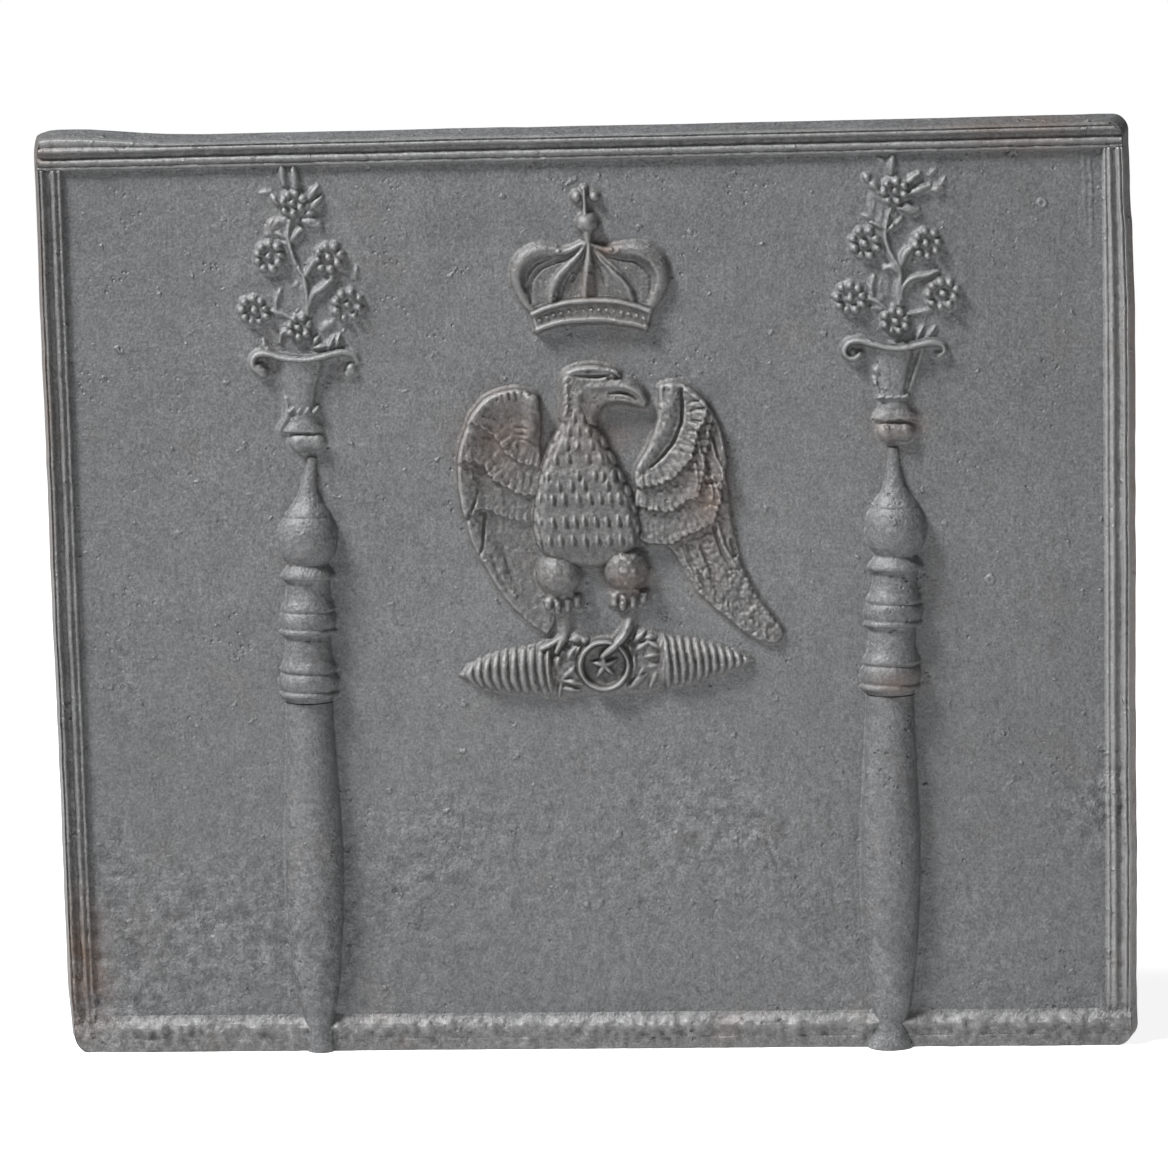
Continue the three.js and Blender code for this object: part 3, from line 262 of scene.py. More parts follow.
def castGroup(area, slot, shapes, blend=0.8, fillet=None, step=None, nodes=True, melt=None):
    # One height over the whole area: the smooth maximum of the pieces' own heights, run into the
    # field by a fillet, softened, and stood on a low skirt of displaced sand. The grid's places are
    # shifted a little, so that outlines waver. Each piece keeps the cells where its own height is
    # the largest.
    look = castingLook
    step = step or look["step"]
    fillet = fillet or look["fillet"]
    x0, x1, z0, z1 = area
    x, z = np.meshgrid(np.arange(x0, x1 + step, step), np.arange(z0, z1 + step, step))
    gx = x + sum(reach * waves(x, z, size, 14) for size, reach in look["wander"])
    gz = z + sum(reach * waves(x, z, size, 15) for size, reach in look["wander"])
    heights = np.array([shape(gx, gz) for shape in shapes.values()])
    whole = heights[0]
    for height in heights[1:]:
        whole = smoothMax(whole, height, blend)
    lifted = spread(smoothMax(whole, 0, fillet), look["melt"] if melt is None else melt)
    if nodes:
        lifted = smoothMax(lifted, look["skirt"] * spread(lifted, look["skirtReach"]) - 0.15, 0.3)
    height = fieldHeight(x, z) + lifted - look["sink"] + castSkin(x, z) * easeIn(lifted / 1.5)
    height = np.minimum(height, look["highest"])
    # painted shade in the hollows of the raised parts, let off near the field; lighter crests, partly wear
    # and partly painted highlight
    shadeAndWear = shadeAndWearOf(height, easeIn((lifted - 1.2) / 2.0))
    owner = heights.argmax(0)[:-1, :-1]
    alive = lifted > (0.02 if nodes else 2e-3)
    alive = alive[:-1, :-1] & alive[1:, :-1] & alive[:-1, 1:] & alive[1:, 1:]
    front = np.stack([x, faceY - height, z], -1)
    back = np.stack([x, np.full_like(x, castingLook["floor"]), z], -1)
    for number, name in enumerate(shapes):
        points, quads, flat, used = closeSheet(alive & (owner == number), front, back)
        shade = np.concatenate([shadeAndWear.ravel(), np.full(shadeAndWear.size, 0.5)])[used]
        makePiece(name, points, [quads], flat, slot, [name] if nodes else [], shade)


def window(x, z, line, reach):
    # the rows and columns of the grid within reach of the line (and of the grid's small shifts)
    xs = np.linspace(x[0, 0], x[0, -1], x.shape[1])
    zs = np.linspace(z[0, 0], z[-1, 0], z.shape[0])
    reach = reach + 1.5
    left, right = np.searchsorted(xs, (line[:, 0].min() - reach, line[:, 0].max() + reach))
    low, high = np.searchsorted(zs, (line[:, 1].min() - reach, line[:, 1].max() + reach))
    return slice(low, max(high, low + 1)), slice(left, max(right, left + 1))


def strokeHeight(gx, gz, line, power):
    # the largest, over the line's pieces, of height * (1 - (distance / halfWidth) ^ power)
    value = np.full(gx.shape, -9.0)
    for a, b in zip(line[:-1], line[1:]):
        ux, uz = b[0] - a[0], b[1] - a[1]
        t = np.clip(((gx - a[0]) * ux + (gz - a[1]) * uz) / (ux * ux + uz * uz + 1e-9), 0, 1)
        away = np.hypot(gx - a[0] - t * ux, gz - a[1] - t * uz) / (a[2] + (b[2] - a[2]) * t)
        value = np.maximum(value, (a[3] + (b[3] - a[3]) * t) * (1 - away**power))
    return value


def strokeLine(stations, steps):
    # a curve through the stations, or the one station twice
    return flow(stations, steps) if len(stations) > 1 else np.array([stations[0], stations[0]], float)


def raiseStroke(ground, x, z, stations, power=2.0, blend=0.5, steps=5):
    # stations are (x, z, half width, height), joined by a smooth curve and merged by smoothMax
    line = strokeLine(stations, steps)
    rows, columns = window(x, z, line, line[:, 2].max() * 1.8 + 1)
    value = strokeHeight(x[rows, columns], z[rows, columns], line, power)
    ground[rows, columns] = smoothMax(ground[rows, columns], np.maximum(value, -9), blend)


def addStroke(ground, x, z, stations, power=2.0, steps=5):
    # adds height * (1 - (distance / halfWidth) ^ power) to the ground; a minus height cuts a groove
    line = strokeLine(stations, steps)
    rows, columns = window(x, z, line, line[:, 2].max() + 1)
    sign = 1 if line[:, 3].sum() > 0 else -1
    value = strokeHeight(x[rows, columns], z[rows, columns], line * (1, 1, 1, sign), power)
    ground[rows, columns] += sign * np.maximum(value, 0)


def insideDistance(x, z, outline):
    # distance to the closed outline, positive inside by the even-odd rule
    outline = np.asarray(outline, float)
    best = np.full(x.shape, 1e9)
    inside = np.zeros(x.shape, bool)
    for (ax, az), (bx, bz) in zip(outline, np.roll(outline, -1, 0)):
        ux, uz = bx - ax, bz - az
        t = np.clip(((x - ax) * ux + (z - az) * uz) / (ux * ux + uz * uz + 1e-9), 0, 1)
        best = np.minimum(best, (x - ax - t * ux) ** 2 + (z - az - t * uz) ** 2)
        crosses = (az > z) != (bz > z)
        inside ^= crosses & (x < ax + (z - az) / (uz if abs(uz) > 1e-9 else 1e-9) * ux)
    return np.where(inside, 1, -1) * np.sqrt(best)


def besideLine(x, z, line):
    # distance to an open line, positive on the left of the way it runs, and the length along it
    # to its nearest point
    best = np.full(x.shape, 1e9)
    side = np.zeros(x.shape)
    along = np.zeros(x.shape)
    run = 0.0
    for a, b in zip(line[:-1], line[1:]):
        ux, uz = b[0] - a[0], b[1] - a[1]
        length = np.hypot(ux, uz) + 1e-9
        t = np.clip(((x - a[0]) * ux + (z - a[1]) * uz) / length**2, 0, 1)
        away = (x - a[0] - t * ux) ** 2 + (z - a[1] - t * uz) ** 2
        closer = away < best
        best = np.where(closer, away, best)
        side = np.where(closer, np.sign(ux * (z - a[1]) - uz * (x - a[0])), side)
        along = np.where(closer, run + t * length, along)
        run += length
    return side * np.sqrt(best), along


def roundOutline(points, steps=5):
    # a closed smooth curve through the points
    points = [tuple(p) for p in points]
    wrapped = [points[-1], *points, points[0], points[1]]
    curve = flow(wrapped, steps)
    return curve[steps : -2 * steps]


def pillow(distance, rise, edge):
    # rise * (1 - (1 - distance / edge)^2) within the edge, level further in, and falling outside
    q = np.clip(distance / edge, 0, 1)
    return np.where(distance > 0, rise * (1 - (1 - q) ** 2), 2 * rise / edge * distance)


def empty(x):
    # well below the field everywhere
    return np.full(x.shape, -9.0)


crownLook = {
    "cap": [(-30.0, 440.0), (-20.0, 443.5), (-6.0, 441.5), (4.6, 446.0), (15.0, 441.5), (30.0, 443.0),
            (40.0, 438.0), (43.0, 428.0), (38.0, 412.0), (4.0, 416.0), (-28.0, 411.0), (-34.0, 428.0)],
    "arches": [  # x, z, half width, height
        [(4.2, 447.6, 1.4, 3.6), (-7.2, 442.4, 2.4, 3.9), (-15.5, 442.4, 4.2, 4.6),
         (-23.0, 441.9, 5.4, 5.4), (-29.6, 438.6, 5.6, 5.6), (-33.4, 432.8, 5.2, 5.4),
         (-33.8, 425.6, 4.6, 4.8), (-31.2, 418.1, 3.6, 4.2), (-26.0, 410.6, 2.8, 3.6)],
        [(6.0, 446.5, 1.4, 3.6), (14.0, 442.8, 2.6, 3.9), (23.1, 442.4, 4.4, 4.6), (33.0, 441.2, 6.0, 5.6),
         (40.2, 436.6, 6.0, 5.6), (43.2, 429.0, 5.4, 5.2), (42.2, 421.0, 4.6, 4.6),
         (37.8, 412.0, 3.4, 3.8)],
        [(3.5, 446.8, 1.4, 4.2), (-2.8, 438.4, 2.5, 4.9), (-9.6, 431.0, 3.6, 5.4), (-13.6, 424.4, 4.4, 5.2),
         (-15.0, 418.6, 4.7, 4.9), (-14.6, 410.4, 4.4, 4.2)],
        [(6.2, 446.8, 1.4, 4.2), (12.4, 437.6, 2.6, 4.9), (19.0, 430.0, 4.0, 5.4), (23.4, 422.6, 5.0, 5.2),
         (25.4, 416.6, 5.3, 4.9), (26.2, 410.0, 5.1, 4.2)],
        [(4.9, 447.6, 1.4, 4.6), (4.7, 438.3, 2.6, 5.6), (4.5, 430.0, 4.2, 6.0), (4.4, 421.0, 5.6, 5.6),
         (4.3, 411.0, 6.2, 4.6)],
    ],
    "hollows": [  # grooves that dish the arches and the middle leaf
        [(-18.0, 440.0, 2.0, -0.6), (-26.0, 436.4, 3.2, -1.3), (-30.4, 430.0, 3.0, -1.5),
         (-29.4, 421.4, 2.4, -1.1)],
        [(21.0, 439.8, 2.0, -0.6), (32.0, 436.8, 3.0, -1.3), (38.4, 430.0, 2.8, -1.4),
         (38.6, 421.0, 2.2, -1.0)],
        [(-3.4, 435.6, 1.4, -0.6), (-9.4, 427.0, 2.2, -1.2), (-12.6, 418.0, 2.8, -1.5),
         (-13.0, 411.0, 2.8, -1.4)],
        [(13.6, 434.0, 1.4, -0.6), (20.6, 425.6, 2.4, -1.1), (24.4, 416.6, 3.0, -1.4),
         (25.4, 410.6, 3.0, -1.3)],
        [(5.8, 434.0, 1.7, -1.0), (6.2, 425.0, 3.2, -2.0), (6.4, 414.0, 3.8, -2.2),
         (6.4, 409.0, 3.8, -2.0)],
    ],
    "seams": [  # fine dark lines where the arches overlap
        [(7.0, 444.8, 0.8, -1.2), (13.6, 436.4, 1.0, -2.0), (22.4, 428.8, 1.0, -2.0),
         (29.8, 421.0, 1.0, -1.6), (31.4, 413.0, 0.9, -1.2)],
        [(9.0, 443.4, 0.8, -1.2), (18.0, 438.6, 1.0, -2.0), (30.0, 436.0, 1.0, -2.2),
         (36.2, 430.4, 1.0, -1.8)],
        [(1.6, 444.6, 0.8, -1.2), (-5.0, 439.4, 1.0, -1.8), (-14.0, 436.6, 1.1, -2.2),
         (-22.4, 432.4, 1.2, -2.2), (-27.4, 425.4, 1.2, -1.8), (-26.6, 415.0, 1.0, -1.4)],
        [(2.6, 443.0, 0.6, -1.0), (-0.2, 434.6, 0.8, -1.6), (-4.0, 427.0, 0.9, -1.6)],
        [(6.6, 442.6, 0.6, -1.0), (10.4, 433.6, 0.8, -1.6), (13.4, 424.6, 0.9, -1.6)],
    ],
    "band": [(-27.0, 404.0), (-15.5, 408.0), (4.4, 410.4), (22.0, 408.8), (38.0, 404.4)],
    "rimUp": [(-28.0, 408.4), (-18.3, 412.3), (-7.8, 414.6), (3.9, 415.6), (15.0, 415.1), (26.7, 413.1),
              (38.6, 409.2)],
    "rimLow": [(-26.0, 399.8), (-16.4, 403.4), (-5.3, 405.2), (5.8, 405.6), (19.6, 404.7), (37.0, 400.8)],
    "ends": (-26.6, 37.6),
    "pearls": (-22.8, 34.2, 15),
    "worn": (5, 6, 10),  # pearls that are nearly gone
}


def crownArches(x, z):
    # broad strokes on a low cap, dished by hollows and parted by seams
    look = crownLook
    ground = pillow(insideDistance(x, z, roundOutline(look["cap"])), 2.0, 1.6)
    for arch in look["arches"]:
        raiseStroke(ground, x, z, arch, power=2.6, blend=0.4)
    for groove in look["hollows"] + look["seams"]:
        addStroke(ground, x, z, groove)
    return ground


def crownBand(x, z):
    # two rims with a row of pearls in the groove between them, cut off square at both ends
    look = crownLook
    ground = empty(x)
    raiseStroke(ground, x, z, [(px, pz, 6.2, 4.6) for px, pz in look["band"]], power=8, blend=0.3)
    raiseStroke(ground, x, z, [(px, pz, 2.2, 6.8) for px, pz in look["rimUp"]], power=2.4, blend=0.3)
    raiseStroke(ground, x, z, [(px, pz, 2.4, 6.8) for px, pz in look["rimLow"]], power=2.4, blend=0.3)
    start, end, count = look["pearls"]
    row = flow(look["band"], 12)
    for number, place in enumerate(np.linspace(start, end, count)):
        height = np.interp(place, row[:, 0], row[:, 1]) + 0.2
        worn = 0.8 if number in look["worn"] else 0.0
        raiseStroke(ground, x, z, [(place, height, 1.5, 6.6 - worn)], power=2, blend=0.15)
    low, high = look["ends"]
    lean = (z - 408) * 0.28
    beyond = np.maximum(low - lean - x, x - high - lean)
    return np.where(beyond > 0, ground - 4 * beyond, ground)


def crownOrb(x, z):
    # a ball on a short neck, and a cross of lumps on a stem
    ground = empty(x)
    raiseStroke(ground, x, z, [(4.2, 457.0, 6.6, 8.2)], power=2.4, blend=0.3)
    raiseStroke(ground, x, z, [(4.2, 452.6, 4.0, 6.4), (4.4, 447.0, 2.2, 5.0)], blend=0.6)
    raiseStroke(ground, x, z, [(3.2, 462.0, 1.9, 4.6), (3.0, 468.0, 1.6, 4.2), (3.4, 474.4, 1.9, 4.8)],
                blend=0.5)
    raiseStroke(ground, x, z, [(-1.0, 471.8, 3.8, 5.8)], blend=0.4)
    raiseStroke(ground, x, z, [(8.2, 471.4, 3.3, 5.2)], blend=0.4)
    raiseStroke(ground, x, z, [(2.8, 476.0, 2.3, 4.4)], blend=0.4)
    addStroke(ground, x, z, [(4.4, 475.0, 1.0, -2.0), (4.6, 470.0, 0.9, -1.6)])
    return ground


print("crown")
castGroup((-48, 58, 392, 484), "emblem", {
    "crown_arches": crownArches,
    "crown_band": crownBand,
    "crown_orb_and_cross": crownOrb,
}, fillet=2.4)


eagleLook = {
    "body": [(-11.4, 372.0), (-10.8, 362.0), (-12.4, 353.0), (-16.8, 343.5), (-22.0, 332.1), (-26.2, 318.3),
             (-29.0, 304.5), (-29.6, 293.2), (-27.6, 281.5), (-21.5, 272.4), (-8.0, 268.0), (8.0, 268.0),
             (20.0, 271.0), (28.0, 278.0), (31.2, 287.5), (30.4, 299.8), (26.6, 311.2), (20.8, 322.6),
             (14.4, 337.8), (8.8, 347.9), (4.0, 357.0), (4.0, 372.0)],
    "neckFall": (318, 44, 2.6),  # from this height up, over this span, it drops by this much
    "rumpFall": (292, 22, 4.4),  # and from this height down
    "bodyRise": 10.8,
    "bodyEdge": 7.5,
    "dashRows": [  # z, then the x of each dash
        (285.0, -26.2, -20.0, -13.8, -6.9, -0.6, 6.3, 12.5, 19.0, 25.5),
        (295.7, -25.5, -17.9, -11.4, -6.0, -1.0, 5.4, 11.6, 17.6, 23.4),
        (308.2, -24.5, -17.6, -11.4, -3.9, 2.4, 8.0, 13.6, 18.6), (315.6, -14.3, -7.4, -0.6, 12.0),
        (320.6, -20.5, -3.6, 5.2, 9.8, 15.6), (330.0, -15.5, -8.5, 2.0, 9.0), (337.4, -9.3, -3.4, 4.2),
        (345.0, -8.2, -3.0, 2.4), (352.0, -5.5, 0.0),
    ],
    "ruffles": [  # feather edges that stand out along both sides: x, z, length, lean
        (-10.6, 355.0, 5.0, 78), (-13.4, 349.6, 5.0, 68), (-16.4, 343.2, 6.5, 62), (-20.0, 335.4, 6.0, 62),
        (-22.6, 327.4, 7.5, 68), (-25.2, 319.0, 5.5, 74), (-27.0, 309.4, 8.0, 80), (-28.4, 299.6, 6.0, 84),
        (-28.6, 290.6, 6.0, 92), (-27.2, 282.6, 5.0, 104), (12.6, 339.2, 6.0, -64), (17.0, 330.4, 7.0, -62),
        (21.4, 320.4, 6.5, -62), (25.0, 312.4, 5.0, -64), (28.4, 303.2, 5.0, -72), (30.2, 292.0, 5.0, -84),
    ],
    "head": [(-13.6, 350.0), (-12.6, 362.0), (-12.6, 373.6), (-8.4, 379.4), (4.5, 381.8), (15.5, 380.0),
             (20.6, 375.6), (27.5, 372.6), (33.0, 368.0), (35.2, 362.0), (34.0, 357.4), (31.0, 356.6),
             (24.0, 358.4), (17.0, 358.8), (11.6, 357.4), (9.0, 352.0), (7.6, 347.0), (0.0, 345.0),
             (-8.0, 345.0)],
    "thighs": {"eagle_leg_left": (-15.6, 266.6), "eagle_leg_right": (21.0, 269.4)},
    "tufts": {
        "eagle_leg_left": [(-21.4, 252.0, 247.6), (-16.4, 252.0, 245.0), (-11.0, 252.0, 245.8),
                           (-6.0, 253.0, 248.4)],
        "eagle_leg_right": [(14.6, 254.0, 248.6), (19.4, 253.4, 246.2), (25.0, 254.0, 247.6),
                            (30.6, 255.4, 250.2)],
    },
    "feet": {
        "eagle_foot_left": [[(-12.6, 246.0, 5.0, 1.8), (-12.6, 238.0, 4.4, 2.4), (-13.0, 232.0, 3.4, 4.2),
                             (-15.6, 227.8, 2.8, 6.4), (-17.6, 224.0, 2.0, 6.6)],
                            [(-13.4, 232.0, 2.6, 4.0), (-20.0, 228.4, 2.6, 5.8), (-26.0, 225.6, 2.4, 6.4)]],
        "eagle_foot_right": [[(23.6, 246.0, 4.2, 2.2), (22.8, 240.0, 3.8, 3.4), (20.6, 234.4, 3.4, 7.4),
                              (16.4, 229.0, 3.4, 10.2), (11.2, 224.4, 2.8, 10.0), (7.4, 221.0, 1.8, 7.4)]],
    },
}


def addLeaf(ground, x, z, leaf):
    # adds a leaf, round in section and pointed at both ends: middle, length, lean, half width, rise
    px, pz, length, lean, half, rise = leaf
    c, s = np.cos(np.radians(lean)) * length / 2, np.sin(np.radians(lean)) * length / 2
    ends = [(px - c, pz - s, 0.35 * half, 0.35 * rise), (px + c, pz + s, 0.35 * half, 0.4 * rise)]
    addStroke(ground, x, z, [ends[0], (px, pz, half, rise), ends[1]])


def raiseLeaf(ground, x, z, leaf, blend=0.3):
    # the same leaf, raised to its own height
    px, pz, length, lean, half, rise = leaf
    c, s = np.cos(np.radians(lean)) * length / 2, np.sin(np.radians(lean)) * length / 2
    ends = [(px - c, pz - s, 0.5 * half, 0.7 * rise), (px + c, pz + s, 0.5 * half, 0.7 * rise)]
    raiseStroke(ground, x, z, [ends[0], (px, pz, half, rise), ends[1]], blend=blend)


def eagleBody(x, z):
    # a full breast with rows of short upright dashes and ruffled sides
    look = eagleLook
    distance = insideDistance(x, z, roundOutline(look["body"]))
    ground = pillow(distance, look["bodyRise"], look["bodyEdge"])
    start, span, drop = look["neckFall"]
    ground = ground - drop * easeIn((z - start) / span)
    start, span, drop = look["rumpFall"]
    ground = ground - drop * easeIn((start - z) / span) * (distance > 0)
    ground += (0.3 * waves(x, z, 2.6, 33) + 0.45 * waves(x, z, 8, 34)) * easeIn(distance / 2)
    for number, row in enumerate(look["dashRows"]):
        strength = 1.5 - 0.09 * number
        for place in row[1:]:
            addLeaf(ground, x, z, (place, row[0] + 0.6, 6.4, 86, 1.3, strength))
            addLeaf(ground, x, z, (place + 2.0, row[0] - 0.6, 5.6, 86, 1.2, -0.8 * strength))
        lift = 0.5 * strength * np.exp(-(((z - row[0] - 1.0) / 2.6) ** 2))
        ground += np.where(distance > 1.5, lift, 0)
    for px, pz, length, lean in look["ruffles"]:
        side = np.sign(px - 2)
        addLeaf(ground, x, z, (px - 1.0 * side, pz, length * 1.3, lean, 2.1, 1.7))
        addLeaf(ground, x, z, (px - 3.4 * side, pz - 0.6, length, lean, 1.0, -1.0))
        addLeaf(ground, x, z, (px + 0.6 * side, pz - length * 0.62, 2.6, lean + 60, 1.2, -1.6))
    return ground


def eagleHead(x, z):
    # the skull, a swept crest over a slit, the brow's knob, the eye and the hooked beak
    distance = insideDistance(x, z, roundOutline(eagleLook["head"]))
    ground = pillow(distance, 7.2, 4.6)
    raiseStroke(ground, x, z, [(-8.4, 376.6, 2.0, 6.6), (-2.0, 378.3, 2.8, 8.2), (6.0, 378.8, 2.6, 8.6),
                               (12.0, 378.0, 1.9, 7.8)], blend=1.0)
    addStroke(ground, x, z, [(-7.4, 375.6, 0.7, -0.5), (0.0, 374.9, 1.0, -1.6), (8.0, 374.7, 1.2, -2.4),
                             (14.6, 375.6, 0.9, -1.6)])
    raiseStroke(ground, x, z, [(13.0, 378.4, 1.6, 7.4), (17.4, 377.0, 1.7, 7.8), (20.0, 374.6, 1.3, 7.2)],
                blend=0.4)
    addStroke(ground, x, z, [(14.6, 373.6, 1.5, -1.8), (19.0, 373.2, 1.5, -2.2)])
    raiseStroke(ground, x, z, [(16.6, 373.9, 0.9, 7.2)], blend=0.2)
    raiseStroke(ground, x, z, [(4.0, 369.6, 4.4, 8.0), (16.0, 369.4, 3.8, 8.2), (24.0, 368.6, 3.4, 8.6),
                               (30.0, 365.6, 3.0, 8.4), (33.0, 361.4, 2.2, 7.2), (32.9, 358.4, 1.5, 5.6)],
                blend=1.2)
    raiseStroke(ground, x, z, [(8.0, 363.4, 2.4, 6.8), (16.0, 362.4, 2.3, 7.4), (24.0, 361.4, 2.0, 7.4),
                               (28.6, 359.9, 1.5, 6.6)], blend=0.6)
    addStroke(ground, x, z, [(14.6, 365.6, 0.7, -1.0), (20.0, 365.8, 1.0, -2.6), (26.4, 363.9, 0.9, -2.4),
                             (29.4, 361.6, 0.7, -1.2)])
    addStroke(ground, x, z, [(1.0, 363.6, 4.0, -0.6), (5.0, 358.6, 5.0, -1.1), (8.0, 353.0, 4.4, -0.8)])
    for k in range(7):
        addLeaf(ground, x, z, (-9.8 + 0.7 * (k % 2), 373.0 - 3.0 * k, 4.4, 52, 1.4, 1.2))
        addLeaf(ground, x, z, (-7.0 + 0.7 * (k % 2), 372.6 - 3.2 * k, 3.6, 52, 0.9, -0.8))
    ground += 0.25 * waves(x, z, 2.2, 35) * easeIn(distance / 2)
    return ground


def eagleLeg(name):
    # a round thigh, and below it a cuff of feathers with a ragged edge
    cx, cz = eagleLook["thighs"][name]

    def leg(x, z):
        ground = empty(x)
        raiseStroke(ground, x, z, [(cx, cz, 13.6, 11.8)], power=2.6, blend=1.2)
        raiseStroke(ground, x, z, [(cx - 2.5, 255.6, 5.6, 4.6), (cx + 4.5, 256.4, 5.4, 4.4)], power=3,
                    blend=1.2)
        for number, (tx, top, bottom) in enumerate(eagleLook["tufts"][name]):
            tuft = [(tx, top, 3.3, 5.4 + 0.6 * (number % 2)), (tx - 0.3, bottom + 1.5, 2.6, 4.6)]
            raiseStroke(ground, x, z, tuft, power=2.4, blend=0.8)
            addStroke(ground, x, z, [(tx + 2.6, top + 1.0, 0.8, -0.6), (tx + 2.6, bottom + 2, 0.9, -1.0)])
        away = np.hypot(x - cx, z - cz)
        pimples = np.maximum(waves(x, z, 2.4, 36) + 0.2, 0) * (1.5 if name.endswith("right") else 0.5)
        ground += pimples * easeIn((12.6 - away) / 3) * easeIn((x - cx + 8) / 6)
        ground += 0.4 * waves(x, z, 4.5, 32) * easeIn((13 - away) / 3)
        ground += 1.3 * waves(x, z, 3.2, 31) * easeIn((258 - z) / 4)
        return ground

    return leg


def eagleFoot(name):
    # toes as strokes that narrow towards the claws
    def foot(x, z):
        ground = empty(x)
        for toe in eagleLook["feet"][name]:
            raiseStroke(ground, x, z, toe, blend=0.6)
        return ground

    return foot


